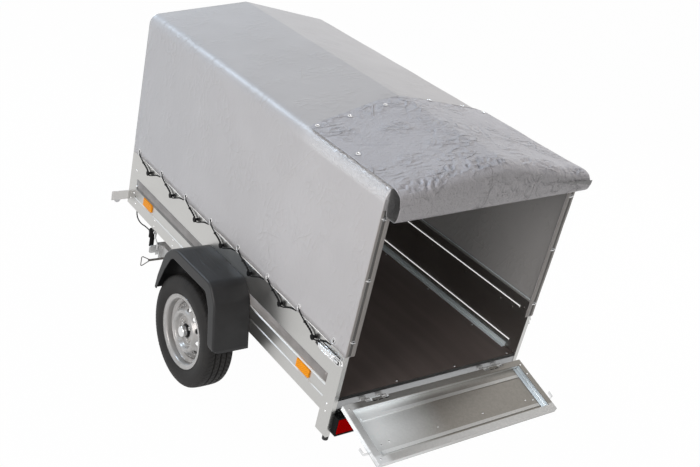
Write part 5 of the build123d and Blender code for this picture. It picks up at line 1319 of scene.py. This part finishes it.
# stripes along the side walls, and the small screws and rivets in walls, floor and tailgate
wallValues = {
    "film": 0.0004, "filmSheet": 0.0003, "filmSteps": 60, "sheet": 0.002,
    # name, finish, ends along the wall, section: out from the film's face and height
    "films": [("wallStripe", "stripe", (-0.965, 0.917),
               [(0.0, 0.630), (0.0, 0.6000), (0.0, 0.5846), (-0.0037, 0.5810)]),
              # painted highlight on the bead below the stripe
              ("beadLine", "whiteLine", (0.20, 0.917),
               [(-0.0037, 0.5765), (-0.0037, 0.5745), (-0.0037, 0.5735)]),
              # painted shadow of the bead under the stripe
              ("frontBeadLine", "beadShade", (-0.965, 0.20),
               [(-0.0037, 0.5808), (-0.0037, 0.5745), (-0.0034, 0.5725), (0.0004, 0.5690)]),
              # painted highlight on the upper bead
              ("upperBeadLine", "whiteLine", (-0.965, 0.917),
               [(-0.0037, 0.7650), (-0.0036, 0.7630), (-0.0006, 0.7600)])],
    # heights of the inner beads whose upper facets carry glowing lines: painted highlights
    "innerBeads": (0.577, 0.767), "innerEnds": (-0.965, 0.921),
    "innerFacet": [(-0.0058, 0.0024), (-0.0030, 0.0060)],
    "topEnds": (-0.965, 0.967), "topSheet": 0.0008, "topHeight": 0.012, "topDrop": 0.0065,
    "bolts": [(0.955, 0.500), (0.956, 0.462), (-0.984, 0.673), (-0.984, 0.535), (-0.964, 0.584),
              (-1.018, 0.490), (-0.953, 0.485), (-0.714, 0.503), (-0.713, 0.468), (-0.495, 0.501),
              (-0.492, 0.467), (0.986, 0.715)],
    "innerRivets": [(0.254, 0.738), (0.526, 0.738), (0.791, 0.738), (0.875, 0.740), (0.944, 0.776),
                    (0.961, 0.534), (-0.020, 0.738), (-0.300, 0.738)],
    "floorScrews": [(0.51, -0.018), (0.51, 0.351), (0.51, 0.705), (0.51, 0.961), (0.51, -0.38),
                    (-0.51, -0.018), (-0.51, 0.351), (-0.51, 0.705), (-0.51, 0.961), (-0.51, -0.38),
                    (0.184, 0.960), (-0.165, 0.960)],
    "head": [(0.0, -0.0004), (0.0052, -0.0004), (0.0054, 0.0006), (0.0046, 0.0018), (0.0026, 0.0026),
             (0.0, 0.0028)],
}


def wallFilm(name, side, face, section, ends, shade, inside=False):
    # a thin film along a side wall: (x, z) = (face + a, b) for each point (a, b) of its section
    y = axleY + np.linspace(*ends, wallValues["filmSteps"])[:, None]
    out, up = np.array(section).T
    film = gridPiece(name, pointGrid(side * (face + out), y, up), shade, "wall_sheet",
                     flip=(side > 0) != inside)
    addWall(film, wallValues["filmSheet"])


def makeStripes():
    # films that follow the wall's face down into the stiffening beads, among them painted highlight and
    # shadow lines on the beads, and glowing lines on its inner side that are painted highlights on the
    # inner beads
    v = wallValues
    for name, shade, ends, section in v["films"]:
        for side in (1, -1):
            wallFilm(name + nameOfSide[side].capitalize(), side, wallFace + v["film"], section, ends,
                     shade)
    for height in v["innerBeads"]:
        for side in (1, -1):
            wallFilm("innerBead" + nameOfSide[side].capitalize() + str(round(height * 1000)), side,
                     wallFace - v["sheet"], np.array(v["innerFacet"]) + [0.0, height], v["innerEnds"],
                     "beadGlint", inside=True)


def makeWallTops():
    # the folded top of each side wall, seen from inside under the cover's hem, coloured pale and
    # bluish as a painted reflection
    v = wallValues
    height = float(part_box("left_wall")[1][2]) - v["topDrop"]
    x = wallFace - v["sheet"] - v["topSheet"]
    gridsPiece("innerWallTops", [
        stripGrid([(side * x, axleY + end, height) for end in v["topEnds"]], (side, 0.0, 0.0), upright,
                  v["topSheet"], v["topHeight"], 0.0002) for side in (1, -1)], "angleZinc", "wall_sheet")


def makeFasteners():
    # round heads stamped at each place with their axis along the wall's or the floor's outward direction
    v = wallValues
    sides = [(side, y, z) for side in (1, -1) for y, z in v["innerRivets"]]
    stampPiece("innerRivets", v["head"], 14,
               [(side * (wallFace - v["sheet"]), axleY + y, z) for side, y, z in sides],
               [(-side, 0.0, 0.0) for side, _, _ in sides], "dullZinc", "bright_zinc")
    sides = [(side, y, z) for side in (1, -1) for y, z in v["bolts"]]
    floorTop = float(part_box("floor_panel")[1][2])
    places = [(side * wallFace, axleY + y, z) for side, y, z in sides]
    places += [(x, axleY + y, floorTop) for x, y in v["floorScrews"]]
    axes = [(side, 0.0, 0.0) for side, _, _ in sides] + [upright] * len(v["floorScrews"])
    stampPiece("boxFasteners", v["head"], 14, places, axes, "brightZinc", "bright_zinc")


makeStripes()
makeWallTops()
makeFasteners()
print("stripes and fasteners fitted")

# over-centre latches: a pressed plate, a curved lever and a wire bail with its screwed eye; every
# place is out from the wall, back and up from the latch's middle
latchValues = {
    "middle": 0.888, "height": 0.722, "wire": 0.0019,
    # out, half length, width, thickness, edge radius
    "pad": (0.0001, 0.079, 0.036, 0.0010, 0.0004), "plate": (0.0, 0.075, 0.030, 0.0026, 0.0008),
    # corners, their radii
    "lever": ([(0.003, -0.088, -0.004), (0.010, -0.060, -0.003), (0.0135, -0.010, 0.001),
               (0.0135, 0.034, 0.002), (0.004, 0.050, 0.002)], [0.02, 0.03, 0.006]),
    "bail": ([(0.012, 0.010, 0.0), (0.012, 0.010, 0.012), (0.011, 0.092, 0.011), (0.010, 0.098, 0.0),
              (0.011, 0.092, -0.011), (0.012, 0.010, -0.012), (0.012, 0.010, -0.002)],
             [0.004, 0.006, 0.005, 0.006, 0.004]),
    "hook": ([(0.0085, -0.020, 0.016), (0.0125, 0.040, 0.018), (0.010, 0.104, 0.020),
              (0.004, 0.112, 0.002), (0.003, 0.104, -0.010)], [0.01, 0.008, 0.007]),
    "leverSize": (0.017, 0.0018, 0.0006), "ridgeSize": (0.004, 0.0060, 0.0010),
    "ridgeScale": (0.55, 0.8, 1.0), "ridges": [(0.0025, 0.016, 0.010), (0.0025, 0.016, -0.010)],
    "screw": (0.0115, 0.030, 0.052), "screwRadius": 0.0042, "thread": 0.0011, "threads": 11,
    "rivets": [(0.0026, -0.066, 0.011), (0.0026, -0.030, -0.011), (0.0026, 0.026, -0.011),
               (0.0026, 0.066, 0.011)],
    "rivet": [(0.0, -0.0003), (0.0036, -0.0003), (0.0034, 0.0010), (0.0020, 0.0019), (0.0, 0.0022)],
}


def onLatch(side, points):
    # p = middle of that side's latch + (out, back, up)
    v = latchValues
    middle = [side * wallFace, axleY + v["middle"], v["height"]]
    return np.asarray(points, float) * [side, 1.0, 1.0] + middle


def makeLatches():
    # plate and lever are strips carried along bent paths; bail and hook are wires on rounded loops; the
    # screw's radius steps between two values: r = radius + thread * sign(sin(2 pi threads t))
    v = latchValues
    made = {"latchPads": [], "latchPlates": [], "latchLevers": [], "latchWires": [], "latchScrews": []}
    lever = evenPath(roundedPath(*v["lever"]), 44)
    share = np.linspace(0.0, 1.0, 90)
    out, start, length = v["screw"]
    thread = v["screwRadius"] + v["thread"] * np.sign(np.sin(share * 2.0 * math.pi * v["threads"]))

    def strip(side, path, *size):
        # a strip that lies flat on the wall
        return stripGrid(onLatch(side, path), upright, (side, 0.0, 0.0), *size)
    for side in (1, -1):
        for name, values, steps in (("latchPads", v["pad"], 2), ("latchPlates", v["plate"], 30)):
            y = np.linspace(-values[1], values[1], steps)
            made[name].append(strip(side, pointGrid(values[0], y, 0.0), *values[2:]))
        made["latchLevers"].append(strip(side, lever, *v["leverSize"]))
        for place in v["ridges"]:
            made["latchLevers"].append(strip(side, lever * v["ridgeScale"] + place, *v["ridgeSize"]))
        for name in ("bail", "hook"):
            loop = evenPath(roundedPath(*v[name], 6, 6), 80)
            made["latchWires"].append(tubeGrid(onLatch(side, loop), v["wire"], 8))
        line = pointGrid(out, start + length * share, 0.0)
        made["latchScrews"].append(tubeGrid(onLatch(side, line), thread, 12))
    for name, grids in made.items():
        pad = name == "latchPads"
        piece = gridsPiece(name, grids, "plastic" if pad else "brightZinc",
                           "black_plastic" if pad else "bright_zinc")
        if name == "latchPlates":
            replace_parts(piece, "latches")
    places = np.concatenate([onLatch(side, v["rivets"]) for side in (1, -1)])
    axes = [(side, 0.0, 0.0) for side in (1, -1) for _ in v["rivets"]]
    stampPiece("latchRivets", v["rivet"], 12, places, axes, "brightZinc", "bright_zinc")


makeLatches()
print("latches fitted")


# the tailgate's own details: rivets, end plates in the tray, bent catches, and dark strips of painted
# shade for the slots by the hinges and the gap beside the hinge line; their values stand with the
# tailgate's finish
def onGate(points):
    # (x, run from the hinge line, height above the gate's plane) turned down by the gate's drop d:
    # y = run cos d + height sin d, z = height cos d - run sin d, from the hinge
    v = gateValues
    x, run, rise = np.moveaxis(np.asarray(points, float), -1, 0)
    drop = math.radians(v["drop"])
    return pointGrid(x, axleY + v["hinge"][0] + run * math.cos(drop) + rise * math.sin(drop),
                     v["hinge"][1] - run * math.sin(drop) + rise * math.cos(drop))


def makeGate():
    # heads stamped on the tray and its border; strips carried along bent lines in the gate's own plane
    v = gateValues
    origin, out, up = onGate([(0.0, 0.0, 0.0), (0.0, 1.0, 0.0), (0.0, 0.0, 1.0)])
    out, up = out - origin, up - origin
    trayTop = v["tray"] + 0.0004
    places = onGate([(x, run, v["tray"]) for x, run in v["rivets"]]
                    + [(x, run, v["border"]) for x, run in v["borderRivets"]])
    stampPiece("gateRivets", v["head"], 12, places, [up] * len(places), "brightZinc", "bright_zinc",
               body="tailgate")
    catches = []
    near, far = v["endRun"]
    face, edge, run, low = v["endHalf"] - 0.0004, v["catchEdge"], v["catchRun"], v["catchLow"]
    for side in (1, -1):
        bend = roundedPath([(side * (v["endHalf"] - v["endFoot"]), 0.0, trayTop),
                            (side * face, 0.0, trayTop), (side * face, 0.0, v["border"] - 0.001)],
                           [0.004], 4, 6)
        plate = stripGrid(onGate(bend + [-side * 0.0008, (near + far) / 2.0, 0.0008]), out,
                          0.5 * up - [side * 0.5, 0.0, 0.0], far - near, v["endSheet"], 0.0002)
        # the left end plate shares the tray's finish; the right one gets a brighter, bluish finish as a
        # painted reflection
        gridsPiece("gateEndPlate" + nameOfSide[side].capitalize(), [plate],
                   "gateZinc" if side > 0 else "endZinc", "zinc", body="tailgate")
        hook = roundedPath([(side * (edge - 0.010), run, low), (side * (edge + 0.034), run - 0.003, low),
                            (side * (edge + 0.036), run - 0.034, low)], [0.006], 6, 6)
        catches.append(stripGrid(onGate(evenPath(hook, 30)), None, up, v["catchSheet"], v["catchHeight"],
                                 0.0008))
    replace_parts(gridsPiece("gateCatches", catches, "brightZinc", "bright_zinc", body="tailgate"),
                "tailgate_catches")
    # half length, width and thickness of each dark line of painted shade, on the border or in the tray
    lines = [(x, run, v["border"] - 0.0002, v["slotHalf"], v["slotWidth"], 0.0005)
             for x, run in v["slots"]]
    lines.append((0.0, v["gapRun"], trayTop, v["gapHalf"], v["gapWidth"], 0.0006))
    gridsPiece("gateSlots", [
        stripGrid(onGate([(x - half, run, rise), (x + half, run, rise)]), out, up, width, height, 0.0002)
        for x, run, rise, half, width, height in lines], "darkGap", "zinc", body="tailgate")


makeGate()
print("tailgate finished")

# the front lamp plates and their round clear lamps, in the CAD's places
plateValues = {
    "height": 0.054, "sheet": 0.004, "rise": -0.013, "inWall": 0.058, "lamp": 0.0180, "lampIn": 0.030,
    # the lamp's dome: shares of its radius and depth
    "dome": [(0.0, 0.0), (1.0, 0.0), (1.0, 0.55), (0.93, 0.82), (0.6, 0.96), (0.0, 1.0)],
}


def makeLampPlates():
    # a flat plate out from each side wall; the lamp is a low dome turned about a line to the front:
    # (radius * share, depth * share)
    v = plateValues
    low, high = boxOf("outriggers")
    lampLow, lampHigh = boxOf("marker_lamps")
    middle = (low + high) / 2.0 + [0.0, 0.0, v["rise"]]
    plates = [stripGrid([(side * (wallFace - v["inWall"]), *middle[1:]), (side * high[0], *middle[1:])],
                        toRear, upright, v["sheet"], v["height"], 0.0008) for side in (1, -1)]
    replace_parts(gridsPiece("lampPlates", plates, "paleZinc", "zinc"), "outriggers")
    places = [(side * (lampHigh[0] - v["lampIn"]), lampHigh[1], middle[2]) for side in (1, -1)]
    dome = np.array(v["dome"]) * [v["lamp"], lampHigh[1] - lampLow[1]]
    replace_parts(stampPiece("markerLenses", dome, 32, places, (0.0, -1.0, 0.0), "clear", "white_lens"),
                "marker_lamps")


makeLampPlates()
print("lamp plates fitted")
